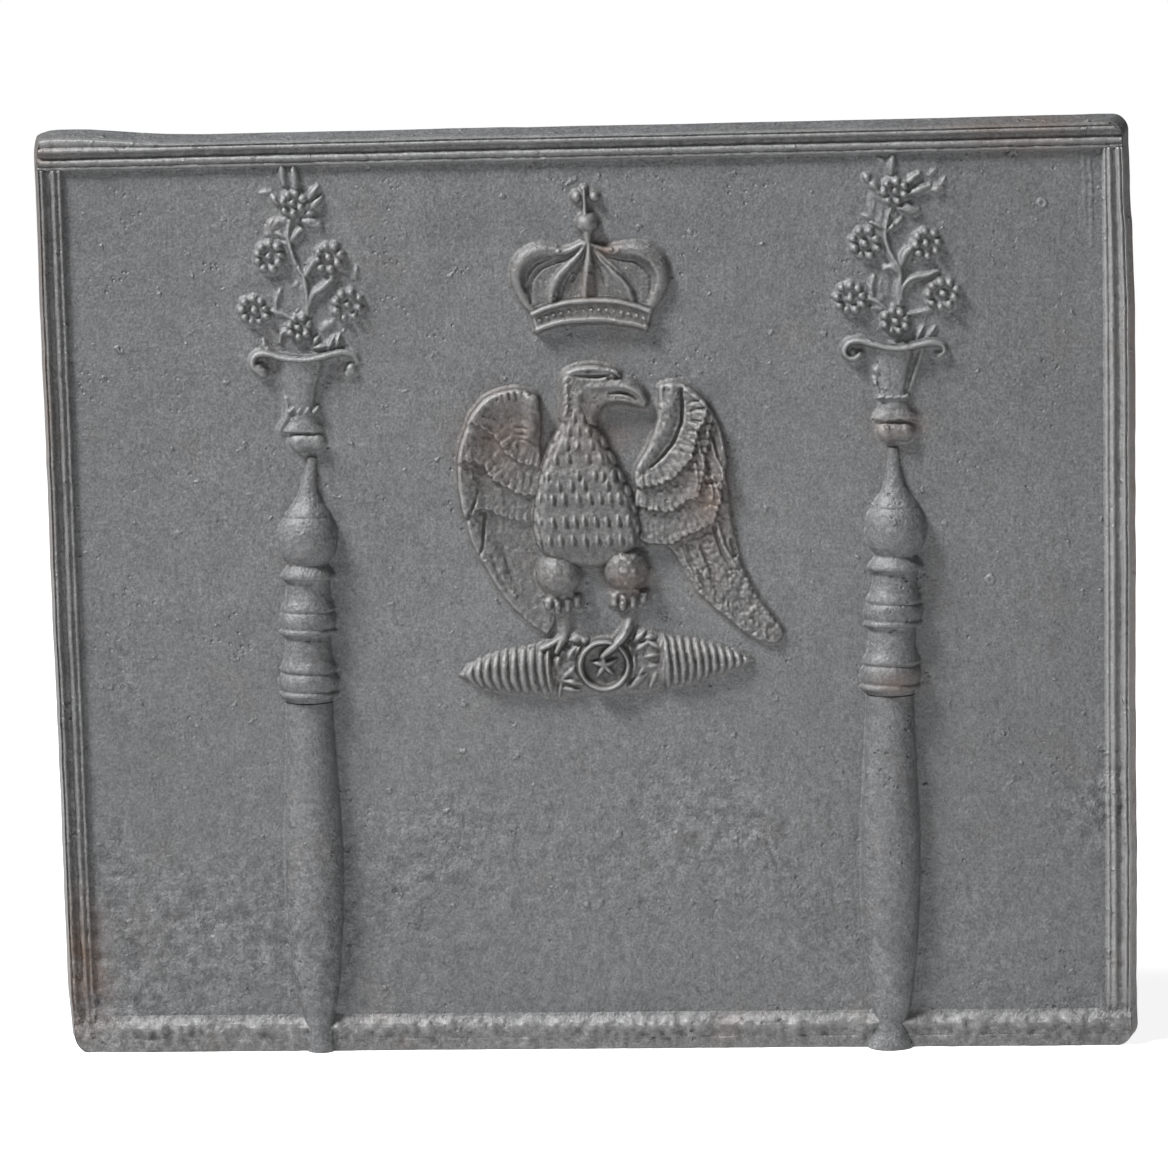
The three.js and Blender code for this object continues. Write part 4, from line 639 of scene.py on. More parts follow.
wingLook = {
    "left": {
        "outline": [(-24.6, 365.0), (-34.1, 369.2), (-44.3, 368.8), (-53.5, 365.0), (-60.0, 358.4),
                    (-64.4, 350.9), (-67.4, 342.0), (-69.8, 332.7), (-70.6, 322.5), (-69.7, 311.3),
                    (-67.8, 300.0), (-64.8, 288.7), (-60.6, 277.4), (-54.3, 265.9), (-46.2, 253.2),
                    (-38.2, 243.8), (-31.0, 236.5), (-24.0, 232.5), (-18.0, 245.0), (-18.0, 280.0),
                    (-20.0, 310.0), (-24.0, 335.0), (-23.6, 352.2)],
        "rim": [(-22.0, 364.5), (-34.1, 369.2), (-44.3, 368.8), (-53.5, 365.0), (-60.0, 358.4),
                (-64.4, 350.9), (-67.4, 342.0), (-69.8, 332.7), (-70.6, 322.5), (-69.7, 311.3),
                (-67.8, 300.0), (-64.8, 288.7), (-60.6, 277.4), (-54.3, 265.9), (-46.2, 253.2),
                (-38.2, 243.8), (-31.0, 236.5), (-24.0, 232.5)],
        "tiers": [  # height of the step, and the scalloped lower edge of the row
            (1.9, [(-70.0, 351.0), (-64.0, 350.6), (-59.9, 350.9), (-51.9, 345.7), (-47.9, 341.5),
                   (-45.0, 337.4), (-41.0, 332.2), (-37.0, 329.6), (-33.0, 327.5), (-18.0, 323.0)]),
            (2.3, [(-74.0, 327.0), (-64.6, 329.6), (-58.5, 329.0), (-54.5, 325.8), (-51.5, 321.0),
                   (-47.5, 317.6), (-42.5, 314.2), (-34.4, 311.0), (-18.0, 308.0)]),
            (1.9, [(-64.0, 300.0), (-57.1, 303.9), (-54.0, 303.3), (-49.0, 300.2), (-44.9, 299.6),
                   (-41.4, 297.6), (-33.0, 296.0), (-18.0, 295.0)]),
        ],
        "ridges": [
            [(-29.0, 363.4, 4.6, 2.2), (-28.8, 354.0, 4.6, 2.8), (-29.4, 346.0, 4.2, 2.6),
             (-30.6, 340.0, 3.4, 1.8)],
        ],
        "grooves": [
            [(-58.3, 314.1, 0.9, -0.6), (-60.0, 308.0, 1.2, -1.4), (-63.3, 300.9, 1.4, -2.0),
             (-66.0, 295.8, 1.2, -2.0)],
            [(-55.3, 301.4, 0.9, -1.8), (-55.9, 291.6, 1.0, -1.9), (-57.1, 282.3, 1.1, -1.8),
             (-59.3, 277.6, 1.0, -1.3)],
            [(-40.2, 366.8, 0.8, -1.6), (-39.6, 363.0, 0.8, -1.0)],
            [(-36.4, 367.2, 0.8, -1.6), (-36.0, 363.4, 0.8, -1.0)],
            [(-32.6, 366.8, 0.8, -1.6), (-32.4, 363.4, 0.8, -1.0)],
            [(-44.0, 366.0, 0.8, -1.2), (-43.2, 362.4, 0.8, -0.8)],
            [(-37.0, 348.0, 0.9, -0.9), (-31.0, 347.0, 0.9, -1.1)],
            [(-37.0, 344.6, 0.9, -0.9), (-31.0, 343.6, 0.9, -1.1)],
            [(-35.0, 341.2, 0.9, -0.9), (-29.0, 340.2, 0.9, -1.1)],
            [(-52.0, 278.0, 1.4, -0.7), (-49.0, 268.0, 1.4, -0.8), (-44.0, 259.0, 1.2, -0.7)],
            [(-46.0, 285.0, 1.6, -0.6), (-43.0, 272.0, 1.6, -0.8), (-38.0, 258.0, 1.4, -0.6)],
        ],
        "pitch": 4.6,
    },
    "right": {
        "outline": [(40.6, 362.0), (41.0, 369.0), (47.3, 371.4), (54.3, 370.4), (61.6, 366.0),
                    (67.6, 359.6), (72.6, 350.9), (76.0, 341.6), (77.6, 330.6), (78.2, 313.4),
                    (79.4, 298.3), (81.4, 284.9), (84.0, 274.4), (90.2, 259.4), (98.7, 245.4),
                    (106.9, 235.2), (106.4, 229.3), (101.6, 226.7), (92.4, 228.3), (84.2, 233.1),
                    (76.0, 240.1), (67.0, 248.0), (59.6, 255.4), (53.0, 266.1), (47.6, 276.5),
                    (42.0, 281.0), (32.0, 282.6), (27.0, 288.0), (26.0, 300.0), (27.2, 313.1),
                    (26.6, 323.0), (33.4, 334.7), (38.6, 347.4)],
        "rim": [(61.6, 366.0), (67.6, 359.6), (72.6, 350.9), (76.0, 341.6), (77.6, 330.6), (78.2, 313.4),
                (79.4, 298.3), (81.4, 284.9)],
        "tiers": [
            (3.3, [(12.0, 313.0), (30.8, 313.9), (38.0, 314.7), (44.3, 317.2), (49.5, 319.7), (54.7, 325.3),
                   (59.0, 330.5), (61.2, 338.7), (62.2, 343.8), (65.7, 350.0), (67.8, 356.1),
                   (70.0, 376.0)]),
            (2.5, [(12.0, 305.0), (30.5, 303.4), (35.7, 301.3), (41.9, 300.7), (48.1, 301.1), (52.3, 304.1),
                   (56.4, 306.6), (60.1, 307.6), (62.2, 311.7), (63.8, 316.4), (66.0, 330.0),
                   (70.0, 350.0)]),
            (2.7, [(12.0, 288.0), (30.1, 283.7), (35.3, 282.5), (42.5, 282.4), (48.2, 282.9), (53.0, 286.4),
                   (58.2, 288.4), (62.9, 290.4), (68.1, 293.0), (71.2, 297.1), (73.4, 303.2),
                   (76.0, 320.0)]),
        ],
        "ridges": [
            [(49.0, 366.8, 4.2, 2.2), (47.4, 359.0, 4.8, 2.6), (45.4, 350.0, 4.8, 2.6),
             (41.0, 341.0, 4.8, 2.4), (35.0, 332.0, 4.0, 2.0), (30.4, 325.6, 3.0, 1.2)],
            [(42.6, 368.4, 2.0, 1.2), (42.4, 356.7, 1.5, 1.2), (40.2, 349.0, 1.5, 1.2),
             (35.4, 340.2, 1.5, 1.2), (29.6, 330.9, 1.3, 0.9)],
            [(56.0, 366.4, 1.1, 1.2), (62.0, 362.4, 1.1, 1.2), (67.6, 357.0, 0.9, 1.2),
             (70.8, 351.0, 0.9, 1.2), (74.0, 343.4, 0.9, 1.2), (76.0, 333.2, 0.9, 1.0)],
            [(60.8, 345.8, 1.0, 0.8), (62.4, 337.6, 1.1, 1.3), (65.0, 327.2, 1.2, 1.5),
             (66.2, 318.8, 1.2, 1.5), (68.9, 313.6, 1.1, 1.5), (68.9, 306.5, 1.0, 1.0)],
            [(66.6, 347.8, 1.0, 0.8), (68.4, 340.5, 1.1, 1.3), (71.0, 331.2, 1.2, 1.5),
             (74.5, 322.9, 1.1, 1.5), (76.0, 315.6, 1.0, 1.2)],
            [(69.4, 318.8, 1.0, 1.2), (71.8, 312.5, 1.1, 1.5), (74.4, 303.1, 1.0, 1.1)],
            [(58.9, 331.4, 0.9, 0.8), (60.8, 324.1, 1.0, 1.2), (61.2, 317.9, 1.0, 1.2),
             (59.8, 311.7, 0.8, 0.9)],
            [(71.7, 293.8, 1.2, 1.4), (73.8, 284.4, 1.3, 1.6), (77.0, 277.0, 1.3, 1.5),
             (82.0, 268.0, 1.1, 1.0)],
            [(60.6, 281.6, 1.0, 0.6), (63.6, 272.2, 1.1, 0.8), (67.0, 264.4, 1.0, 0.7)],
            [(52.0, 279.6, 1.0, 0.7), (56.4, 268.2, 1.1, 0.8), (63.0, 258.4, 1.0, 0.7)],
        ],
        "grooves": [
            [(53.6, 367.0, 0.9, -2.0), (53.6, 357.0, 1.1, -2.8), (53.0, 348.6, 1.1, -2.8),
             (49.2, 339.6, 1.1, -2.6), (43.0, 331.2, 1.1, -2.2), (36.2, 325.0, 1.0, -1.4)],
            [(62.6, 281.6, 0.8, -1.0), (65.6, 273.2, 0.8, -1.1), (68.4, 266.4, 0.8, -0.9)],
            [(54.6, 282.0, 0.8, -0.9), (58.0, 272.3, 0.9, -1.1), (64.0, 261.8, 0.8, -1.0)],
            [(69.6, 291.6, 1.0, -1.6), (71.4, 284.0, 1.0, -1.7), (74.6, 276.0, 1.0, -1.5),
             (80.0, 266.0, 0.9, -1.1)],
            [(66.4, 316.4, 1.9, -2.4), (71.0, 315.4, 1.7, -2.2)],
            [(79.0, 284.0, 1.6, -2.0), (81.2, 276.0, 1.6, -2.2)],
            [(63.6, 336.0, 0.8, -1.2), (67.4, 324.0, 0.8, -1.4)],
            [(69.8, 342.0, 0.8, -1.2), (72.6, 330.0, 0.8, -1.4)],
            [(57.0, 345.0, 0.9, -1.0), (62.0, 344.0, 0.9, -1.4)],
            [(56.4, 350.0, 0.9, -1.0), (64.0, 350.0, 0.9, -1.6)],
            [(57.0, 355.0, 0.9, -1.0), (66.0, 356.6, 0.9, -1.6)],
            [(57.6, 359.6, 0.9, -1.0), (65.0, 361.6, 0.9, -1.2)],
            [(55.0, 340.0, 0.9, -1.0), (60.6, 337.0, 0.9, -1.4)],
            [(52.4, 334.4, 0.9, -0.9), (57.6, 330.0, 0.9, -1.2)],
        ],
        "pitch": 4.2,
    },
}


def wingBase(side, x, z, distance):
    # left: a steep rim from which the surface falls away into the field; right: an even board
    over, _ = besideLine(x, z, flow(wingLook[side]["rim"], 4))
    if side == "right":
        return pillow(distance, 3.0, 2.4) + 0.9 * easeIn((z - 250) / 60) * (distance > 0)
    fall = easeIn((over - 1.5) / 42)
    rise = 7.4 * easeIn((over + 0.5) / 3.0) * (1 - 0.46 * easeIn((over - 3) / 13) - 0.42 * fall)
    rise = rise * (0.4 + 0.6 * easeIn((z - 236) / 90))
    return np.where(distance > 0, rise, 2.2 * distance)


def wing(side):
    # a sloping surface with rows of feathers stepped over one another, each row's lower edge
    # scalloped and its feathers parted by fine grooves that run up from the edge
    look = wingLook[side]

    def shape(x, z):
        distance = insideDistance(x, z, roundOutline(look["outline"], 4))
        ground = wingBase(side, x, z, distance)
        inside = easeIn(distance / 1.4)
        ragged = 0.55 * waves(x, z, 2.4, 37)
        for level, edge in look["tiers"]:
            below, place = besideLine(x, z, flow(edge, 5))
            feather = place / look["pitch"] + 0.16 * waves(x, z, 9, 38)
            lobe = np.abs(np.sin(np.pi * feather))
            lifted = below + 1.3 * np.sqrt(lobe) - 0.7 + ragged
            ramp = np.exp(-np.maximum(lifted, 0) / 12)
            ground += 1.35 * level * easeIn(lifted / 0.8) * ramp * inside
            hatch = 0.75 * (1 - lobe) ** 2 + 0.4 * np.abs(np.sin(3 * np.pi * feather))
            ground -= 0.62 * level * hatch * easeIn(lifted / 1.2) * ramp * inside
        for stroke in look["ridges"] + look["grooves"]:
            addStroke(ground, x, z, stroke)
        if side == "right":
            stipple = np.abs(waves(x, z, 2.3, 39)) + 0.8 * np.maximum(waves(x, z, 3.8, 40), 0)
            ground += 1.1 * (stipple - 0.4) * easeIn((290 - z) / 26) * inside
            ground += 0.45 * waves(x, z, 1.9, 41) * easeIn((310 - z) / 30) * inside
        ground += (0.45 * waves(x, z, 2.2, 42) + 0.3 * waves(x, z, 4.4, 43)) * inside
        return ground

    return shape


boltLook = {
    "top": [(-71.6, 212.0), (-65.2, 217.4), (-58.1, 221.0), (-49.7, 224.1), (-41.2, 225.8), (-31.4, 227.0),
            (-20.0, 229.4), (-8.0, 231.2), (8.0, 231.4), (23.1, 234.8), (32.8, 233.4), (46.7, 231.6),
            (59.1, 229.2), (71.6, 225.5), (79.9, 223.2), (90.0, 217.8)],
    "bottom": [(-71.6, 211.2), (-65.6, 206.8), (-57.3, 203.7), (-46.2, 201.2), (-32.2, 199.6),
               (-18.2, 199.0), (8.0, 200.8), (26.6, 202.1), (40.5, 202.4), (54.5, 205.1), (65.7, 208.4),
               (76.9, 211.8), (90.0, 217.2)],
    "relief": 8.2,
    "ribsLeft": (-67.5, 4.95, 11), "ribsRight": (40.0, 4.3, 11),  # first groove, pitch, number
    "ringCentre": (8.3, 216.2),
    "ringRadius": 13.0,
    "star": 9.0,
    "leaves": [  # x, z, length, lean, half width, height
        (-11.4, 212.4, 11.0, 40, 1.9, 5.8), (-10.0, 207.4, 12.5, -14, 1.9, 5.8),
        (-11.0, 203.0, 9.0, -8, 1.6, 4.8), (-6.8, 230.8, 5.4, 10, 2.2, 5.6),
        (-2.0, 229.4, 4.6, -20, 1.9, 5.0), (-16.4, 219.6, 9.6, 64, 1.9, 5.4),
        (-20.2, 212.0, 13.0, 84, 1.9, 5.2), (-9.6, 222.8, 8.6, 55, 1.8, 5.2),
        (-16.0, 204.4, 9.0, 80, 1.7, 4.6), (-5.6, 224.6, 5.0, 64, 1.3, 4.6),
        (26.8, 207.6, 11.0, 36, 2.3, 6.2), (24.6, 217.0, 10.0, 84, 1.7, 5.8),
        (28.8, 212.6, 7.6, 60, 1.5, 5.2), (28.8, 226.0, 8.5, 30, 2.0, 5.4),
        (36.0, 226.8, 7.4, -30, 2.0, 5.4), (34.4, 221.0, 9.0, 8, 1.6, 5.6),
        (35.0, 215.4, 9.0, 10, 1.6, 5.2), (35.6, 208.6, 9.0, 64, 1.8, 4.8),
        (27.6, 231.6, 7.0, 40, 1.8, 4.8), (33.6, 231.0, 5.4, 0, 1.8, 4.6), (39.6, 226.0, 6.0, 80, 1.6, 5.0),
        (22.2, 225.4, 5.0, 80, 1.5, 5.0), (39.6, 212.0, 6.0, 76, 1.6, 4.6),
    ],
}


def boltSpindle(x, z):
    # relief * (half / widest half)^0.5 * (1 - q^2.6), with q from the middle line to the edges; the
    # ribs are rounded, with grooves bowed outwards
    look = boltLook
    top, bottom = flow(look["top"], 5), flow(look["bottom"], 5)
    high = np.interp(x, top[:, 0], top[:, 1])
    low = np.interp(x, bottom[:, 0], bottom[:, 1])
    half = np.maximum((high - low) / 2, 0.05)
    q = np.abs(z - (high + low) / 2) / half
    height = look["relief"] * (half / 15.5) ** 0.5 * (1 - np.minimum(q, 3) ** 2.6)
    ends = np.minimum(x - top[0, 0], top[-1, 0] - x)
    height = np.where(ends < 0, np.minimum(height, ends * 2), height)
    for (start, pitch, count), way in ((look["ribsLeft"], -1), (look["ribsRight"], 1)):
        bowed = x - way * 1.3 * (1 - np.minimum(q, 1.2) ** 2) + (z - 216) * 0.05
        t = (bowed - start) / pitch
        rib = np.abs(np.sin(np.pi * t)) ** 0.6
        height = height + 3.2 * (rib - 0.78) * easeIn(t + 0.5) * easeIn(count - t) * (q < 1.3)
    return height


def boltPart(low, high):
    # the spindle between two places along it, grainy towards the right
    def shape(x, z):
        ground = boltSpindle(x, z) + 0.6 * np.maximum(waves(x, z, 2.4, 47), 0) * easeIn((x - 20) / 16)
        return np.where((x >= low) & (x < high), ground, -9)

    return shape


def boltHeart(x, z):
    # between the ribbed halves: torn leaves on a low ground, and a ring round a star
    look = boltLook
    middle = easeIn((x + 23) / 4) * easeIn((42 - x) / 4)
    ground = np.where((x > -22) & (x < 41), np.minimum(boltSpindle(x, z) * (1 - 0.5 * middle), 9), -9)
    for px, pz, length, lean, half, rise in look["leaves"]:
        raiseLeaf(ground, x, z, (px, pz, length * 1.15, lean, half * 1.5, rise + 0.3), 0.4)
    ground += 0.8 * waves(x, z, 3.0, 49) * middle
    cx, cz = look["ringCentre"]
    radius = np.hypot(x - cx, z - cz)
    ground = np.where(radius < look["ringRadius"] + 2.6, np.minimum(ground, 2.0), ground)
    ring = 7.6 - 6.4 * (np.abs(radius - look["ringRadius"]) / 1.8) ** 2.2 + 0.5 * waves(x, z, 5, 48)
    ground = smoothMax(ground, np.maximum(ring, -9), 0.3)
    turn = np.arctan2(x - cx, z - cz) / (2 * np.pi / 5) + 0.08
    point = np.abs((turn % 1) * 2 - 1)
    reach = look["star"] * (0.42 + 0.58 * point**1.5)
    star = np.where(radius < reach, 2.4 + 2.6 * easeIn((reach - radius) / 3.4), -9)
    return np.maximum(ground, star)


print("eagle")
castGroup((-80, 114, 190, 390), "emblem", {
    "eagle_body": eagleBody,
    "eagle_head": eagleHead,
    "eagle_wing_left": wing("left"),
    "eagle_wing_right": wing("right"),
    "eagle_leg_left": eagleLeg("eagle_leg_left"),
    "eagle_leg_right": eagleLeg("eagle_leg_right"),
    "eagle_foot_left": eagleFoot("eagle_foot_left"),
    "eagle_foot_right": eagleFoot("eagle_foot_right"),
    "bolt_left": boltPart(-90, -21.5),
    "bolt_right": boltPart(40.5, 120),
    "bolt_heart": boltHeart,
}, blend=1.0, fillet=2.4)


bouquetLook = {
    "left": {
        "flowers": {  # middle, petals, turn of the first, ring radius
            "top": (-155.4, 471.8, 7, 0.3, 5.4), "upper_left": (-169.4, 443.0, 9, 0.1, 6.4),
            "upper_right": (-137.0, 441.7, 8, 0.2, 6.2), "lower_left": (-178.2, 413.6, 9, 0.25, 6.4),
            "lower_right": (-127.3, 416.0, 8, 0.5, 6.9), "bottom": (-154.6, 404.2, 7, 0.2, 5.2)},
        "stems": [
            [(-157.6, 462.0, 1.3, 1.8), (-158.4, 454.0, 1.4, 2.2), (-157.0, 446.0, 1.3, 2.2),
             (-153.4, 436.4, 1.3, 2.2), (-150.4, 431.0, 1.4, 2.4), (-149.2, 420.0, 1.5, 2.4),
             (-149.6, 411.0, 1.4, 1.8)],
            [(-150.0, 431.0, 1.3, 2.2), (-146.6, 437.0, 1.9, 2.9), (-142.6, 443.0, 1.6, 2.4)],
            [(-157.4, 451.0, 1.2, 1.8), (-154.2, 454.4, 1.5, 2.4), (-151.0, 457.6, 1.5, 2.2)],
            [(-148.6, 416.0, 1.2, 1.8), (-146.0, 422.0, 1.5, 2.6), (-140.6, 425.6, 1.8, 2.8),
             (-135.2, 430.0, 1.7, 2.4)],
            [(-168.6, 413.4, 1.0, 1.6), (-163.0, 411.6, 1.1, 1.8), (-157.6, 408.6, 1.1, 1.6)],
            [(-166.6, 412.0, 1.0, 1.2), (-166.0, 419.0, 1.2, 1.5), (-164.0, 424.4, 1.0, 1.2)],
            [(-165.0, 396.4, 1.0, 1.2), (-163.8, 400.6, 1.3, 1.5), (-160.8, 402.6, 1.2, 1.2)],
            [(-174.0, 398.0, 0.9, 1.8), (-172.6, 394.0, 1.7, 2.6), (-170.2, 390.6, 2.2, 3.4)],
        ],
        "leaves": [  # x, z, length, lean, half width, rise
            (-160.6, 487.6, 12.0, 98, 2.3, 3.2), (-154.0, 484.6, 14.0, 94, 2.6, 3.4),
            (-170.2, 477.6, 6.0, 4, 1.1, 1.5), (-165.0, 473.6, 5.4, 130, 2.2, 3.2),
            (-144.6, 476.6, 9.0, 52, 1.9, 3.4), (-142.8, 471.0, 9.0, 44, 1.9, 3.2),
            (-147.2, 470.4, 4.5, 60, 1.8, 2.8), (-146.2, 466.0, 5.0, 20, 1.5, 2.6),
            (-145.4, 461.0, 8.8, -12, 2.7, 2.9), (-164.6, 459.0, 12.0, 40, 3.2, 1.7),
            (-163.0, 455.0, 12.0, -32, 1.4, 1.8), (-168.0, 460.4, 6.0, 60, 1.4, 1.6),
            (-159.0, 449.6, 6.0, -10, 1.3, 1.4), (-155.0, 427.2, 4.0, 30, 1.3, 1.2),
            (-151.6, 424.6, 4.0, -20, 1.2, 1.2), (-135.0, 431.6, 6.0, 60, 1.9, 2.6),
            (-139.0, 404.6, 8.0, 34, 1.7, 1.3), (-142.6, 393.6, 8.0, 10, 1.6, 3.6),
            (-137.0, 395.4, 8.0, 60, 1.5, 3.4), (-133.2, 396.4, 7.0, 70, 1.4, 3.2),
            (-145.4, 396.6, 5.0, 50, 1.5, 2.6), (-141.0, 457.6, 7.0, 84, 1.1, 0.8),
            (-122.4, 433.0, 6.0, 80, 1.2, 0.9),
        ],
        "hollows": [
            [(-162.4, 459.6, 2.4, -1.2), (-166.0, 456.6, 1.6, -0.8)],
            [(-145.4, 460.6, 1.2, -0.7), (-143.0, 460.2, 0.9, -0.5)],
            [(-162.4, 417.4, 1.6, -0.7), (-160.4, 421.4, 1.6, -0.6)],
        ],
        "rim": [(-175.2, 380.0, 2.9, 5.6), (-179.4, 384.2, 2.1, 5.8), (-178.0, 389.4, 1.9, 6.0),
                (-171.1, 390.3, 1.9, 6.6), (-164.0, 388.2, 1.9, 7.4), (-155.0, 386.6, 2.0, 8.0),
                (-147.0, 387.0, 2.0, 7.8), (-139.0, 388.9, 1.9, 6.6), (-130.6, 390.3, 1.6, 4.6),
                (-124.6, 388.4, 1.5, 2.6), (-123.0, 385.0, 1.4, 1.4)],
        "rimLumps": [(-177.2, 382.6, 3.4, 5.0), (-126.0, 381.0, 3.0, 3.4), (-128.4, 378.4, 2.0, 2.6)],
        "axis": -153.6,
        "cup": [(346.0, 9.6), (347.5, 12.2), (349.0, 11.8), (352.0, 9.4), (356.5, 8.0), (362.5, 8.0),
                (366.0, 9.0), (374.0, 11.2), (382.0, 13.6), (389.0, 16.0)],
        "ribs": [[(-141.0, 384.0, 2.2, -1.6), (-143.6, 374.0, 2.0, -1.9), (-146.0, 363.6, 1.5, -1.6)],
                 [(-153.0, 381.0, 0.9, -0.3), (-153.4, 366.0, 0.8, -0.3)]],
        "edges": [[(-162.4, 366.0, 1.2, 2.6), (-161.8, 359.0, 1.4, 3.4), (-162.6, 354.6, 1.5, 3.6),
                   (-166.4, 348.4, 1.2, 2.4)]],
        "knob": [(-156.4, 341.6, 5.8, 5.8), (-146.6, 341.8, 5.4, 5.6)],
        "beads": (-159.8, -146.4, 4, 359.2, 42),  # from, to, number, height, lean
    },
    "right": {
        "flowers": {
            "top": (169.8, 471.2, 7, 0.5, 5.6), "upper_left": (153.4, 443.4, 8, 0.38, 6.7),
            "upper_right": (186.2, 442.6, 8, 0.1, 6.3), "lower_left": (145.4, 414.0, 9, 0.2, 6.9),
            "lower_right": (195.0, 415.6, 9, 0.35, 7.1), "bottom": (169.8, 401.2, 8, 0.3, 5.9)},
        "stems": [
            [(168.6, 464.0, 1.2, 1.8), (166.0, 457.0, 1.3, 2.2), (164.6, 449.0, 1.3, 2.3),
             (166.4, 440.0, 1.4, 2.4), (170.0, 433.6, 1.5, 2.6), (172.6, 428.0, 1.5, 2.6),
             (172.4, 420.0, 1.5, 2.2), (171.6, 410.6, 1.4, 2.0)],
            [(172.4, 430.0, 1.4, 2.2), (174.6, 436.4, 2.0, 3.0), (179.6, 441.6, 1.6, 2.6)],
            [(163.4, 429.6, 1.1, 1.8), (168.0, 431.0, 1.7, 2.6), (171.8, 427.6, 1.4, 2.2)],
            [(172.6, 413.0, 1.2, 1.8), (174.4, 420.0, 1.2, 2.4), (179.6, 424.6, 1.2, 2.4),
             (186.0, 425.6, 1.1, 2.0), (192.6, 428.2, 1.0, 1.6)],
            [(153.6, 414.0, 1.1, 1.8), (159.6, 412.6, 1.2, 2.0), (164.6, 408.4, 1.2, 1.8)],
            [(156.8, 409.0, 0.9, 1.2), (163.0, 408.2, 1.0, 1.4)],
            [(157.4, 414.0, 1.1, 1.1), (156.8, 420.0, 1.4, 1.7), (158.0, 425.6, 1.0, 1.4)],
            [(165.0, 449.6, 1.1, 1.8), (169.6, 453.0, 1.3, 2.2), (173.4, 457.6, 1.0, 1.6)],
            [(176.6, 405.0, 0.9, 1.1), (183.0, 406.2, 0.9, 1.2), (189.0, 407.4, 0.8, 1.0)],
            [(158.0, 472.0, 1.0, 1.4), (161.8, 471.0, 1.4, 2.2), (164.6, 470.2, 1.2, 1.8)],
        ],
        "leaves": [
            (168.6, 485.0, 10.0, 84, 1.9, 1.8), (163.6, 487.0, 6.0, 140, 1.3, 1.0),
            (155.2, 478.2, 4.4, 120, 1.8, 2.8), (159.0, 474.2, 5.4, 140, 2.4, 3.2),
            (179.0, 477.4, 10.0, 36, 1.7, 2.8), (183.4, 471.8, 12.0, 22, 1.7, 2.8),
            (176.6, 469.4, 6.0, 24, 1.4, 2.2), (192.4, 471.8, 6.6, 10, 2.0, 2.6),
            (195.8, 475.4, 5.0, 60, 1.0, 1.6), (188.8, 473.4, 4.0, 150, 0.9, 1.2),
            (177.6, 461.4, 9.0, -4, 2.7, 3.2), (160.6, 461.6, 15.0, 108, 3.6, 1.5),
            (162.4, 467.0, 8.0, 150, 1.7, 1.5), (155.6, 457.6, 6.0, 160, 1.2, 1.4),
            (161.0, 453.0, 9.0, -20, 1.4, 1.8), (170.4, 459.6, 6.0, 70, 1.5, 1.2),
            (163.8, 420.4, 12.0, 82, 3.0, 1.1), (171.0, 416.6, 12.0, 86, 1.9, 2.2),
            (182.4, 394.6, 8.0, 62, 1.2, 1.7), (188.6, 394.6, 8.0, 56, 1.2, 1.7),
            (169.0, 391.0, 4.0, 80, 1.0, 1.0), (185.0, 436.0, 12.0, 30, 2.0, 0.8),
            (190.0, 480.6, 5.0, 40, 0.9, 0.9),
        ],
        "hollows": [
            [(161.4, 464.6, 2.4, -1.1), (160.0, 458.0, 2.2, -1.1)],
            [(163.6, 423.4, 1.8, -0.7), (163.6, 417.0, 1.8, -0.7)],
        ],
        "rim": [(150.4, 384.4, 1.6, 3.8), (147.4, 381.8, 1.7, 4.8), (143.6, 382.4, 1.7, 5.2),
                (141.6, 386.2, 1.6, 5.6), (144.0, 390.0, 1.6, 6.0), (149.6, 391.4, 1.7, 6.6),
                (157.6, 389.4, 1.8, 7.4), (165.0, 387.0, 1.9, 8.0), (173.0, 386.8, 1.9, 7.8),
                (181.6, 388.6, 1.8, 6.8), (189.6, 389.6, 1.7, 5.8), (194.4, 388.2, 1.6, 4.8),
                (195.4, 384.6, 1.4, 4.0), (192.8, 382.4, 1.3, 3.4)],
        "rimLumps": [(146.2, 384.9, 2.6, 3.4), (192.6, 383.0, 2.0, 3.0)],
        "axis": 168.6,
        "cup": [(347.0, 10.4), (349.0, 12.6), (350.5, 12.0), (354.0, 9.0), (358.0, 7.6), (363.5, 7.6),
                (366.0, 8.6), (374.0, 10.4), (382.0, 12.4), (390.0, 14.6)],
        "ribs": [[(179.6, 385.0, 2.0, -1.7), (176.6, 374.0, 1.9, -2.0), (174.4, 364.4, 1.5, -1.7)],
                 [(166.0, 381.0, 0.9, -0.3), (166.6, 366.0, 0.8, -0.3)]],
        "edges": [[(183.4, 386.0, 1.1, 2.8), (180.0, 374.0, 1.1, 2.8), (176.4, 364.4, 1.1, 2.4)],
                  [(158.0, 371.0, 1.1, 2.4), (160.4, 363.0, 1.2, 2.6)], [(159.4, 375.6, 1.9, 4.4)]],
        "knob": [(164.8, 341.8, 6.4, 6.0), (173.8, 341.8, 6.0, 5.8)],
        "beads": (161.6, 173.8, 4, 360.8, 12),
    },
}


def drawFlower(ground, x, z, flower):
    # round bead petals on a circle about a heart, on a low disc
    cx, cz, petals, turn, ring = flower
    raiseStroke(ground, x, z, [(cx, cz, ring + 1.6, 1.2)], power=4, blend=0.6)
    for k in range(petals):
        a = turn + 2 * np.pi * k / petals
        size = 2.7 + 0.4 * np.sin(7.3 * k + cx)
        reach = ring + 0.6 * np.sin(5.1 * k + cz)
        rise = 5.0 + 0.8 * np.sin(3.7 * k + cx + cz)
        petal = [(cx + reach * np.cos(a), cz + reach * np.sin(a), size, rise)]
        raiseStroke(ground, x, z, petal, power=2.2, blend=0.2)
    raiseStroke(ground, x, z, [(cx, cz, 2.8, 4.8)], power=2.2, blend=0.15)


def flowerShape(side, place):
    # one flower by itself
    def shape(x, z):
        ground = empty(x)
        drawFlower(ground, x, z, bouquetLook[side]["flowers"][place])
        return ground

    return shape


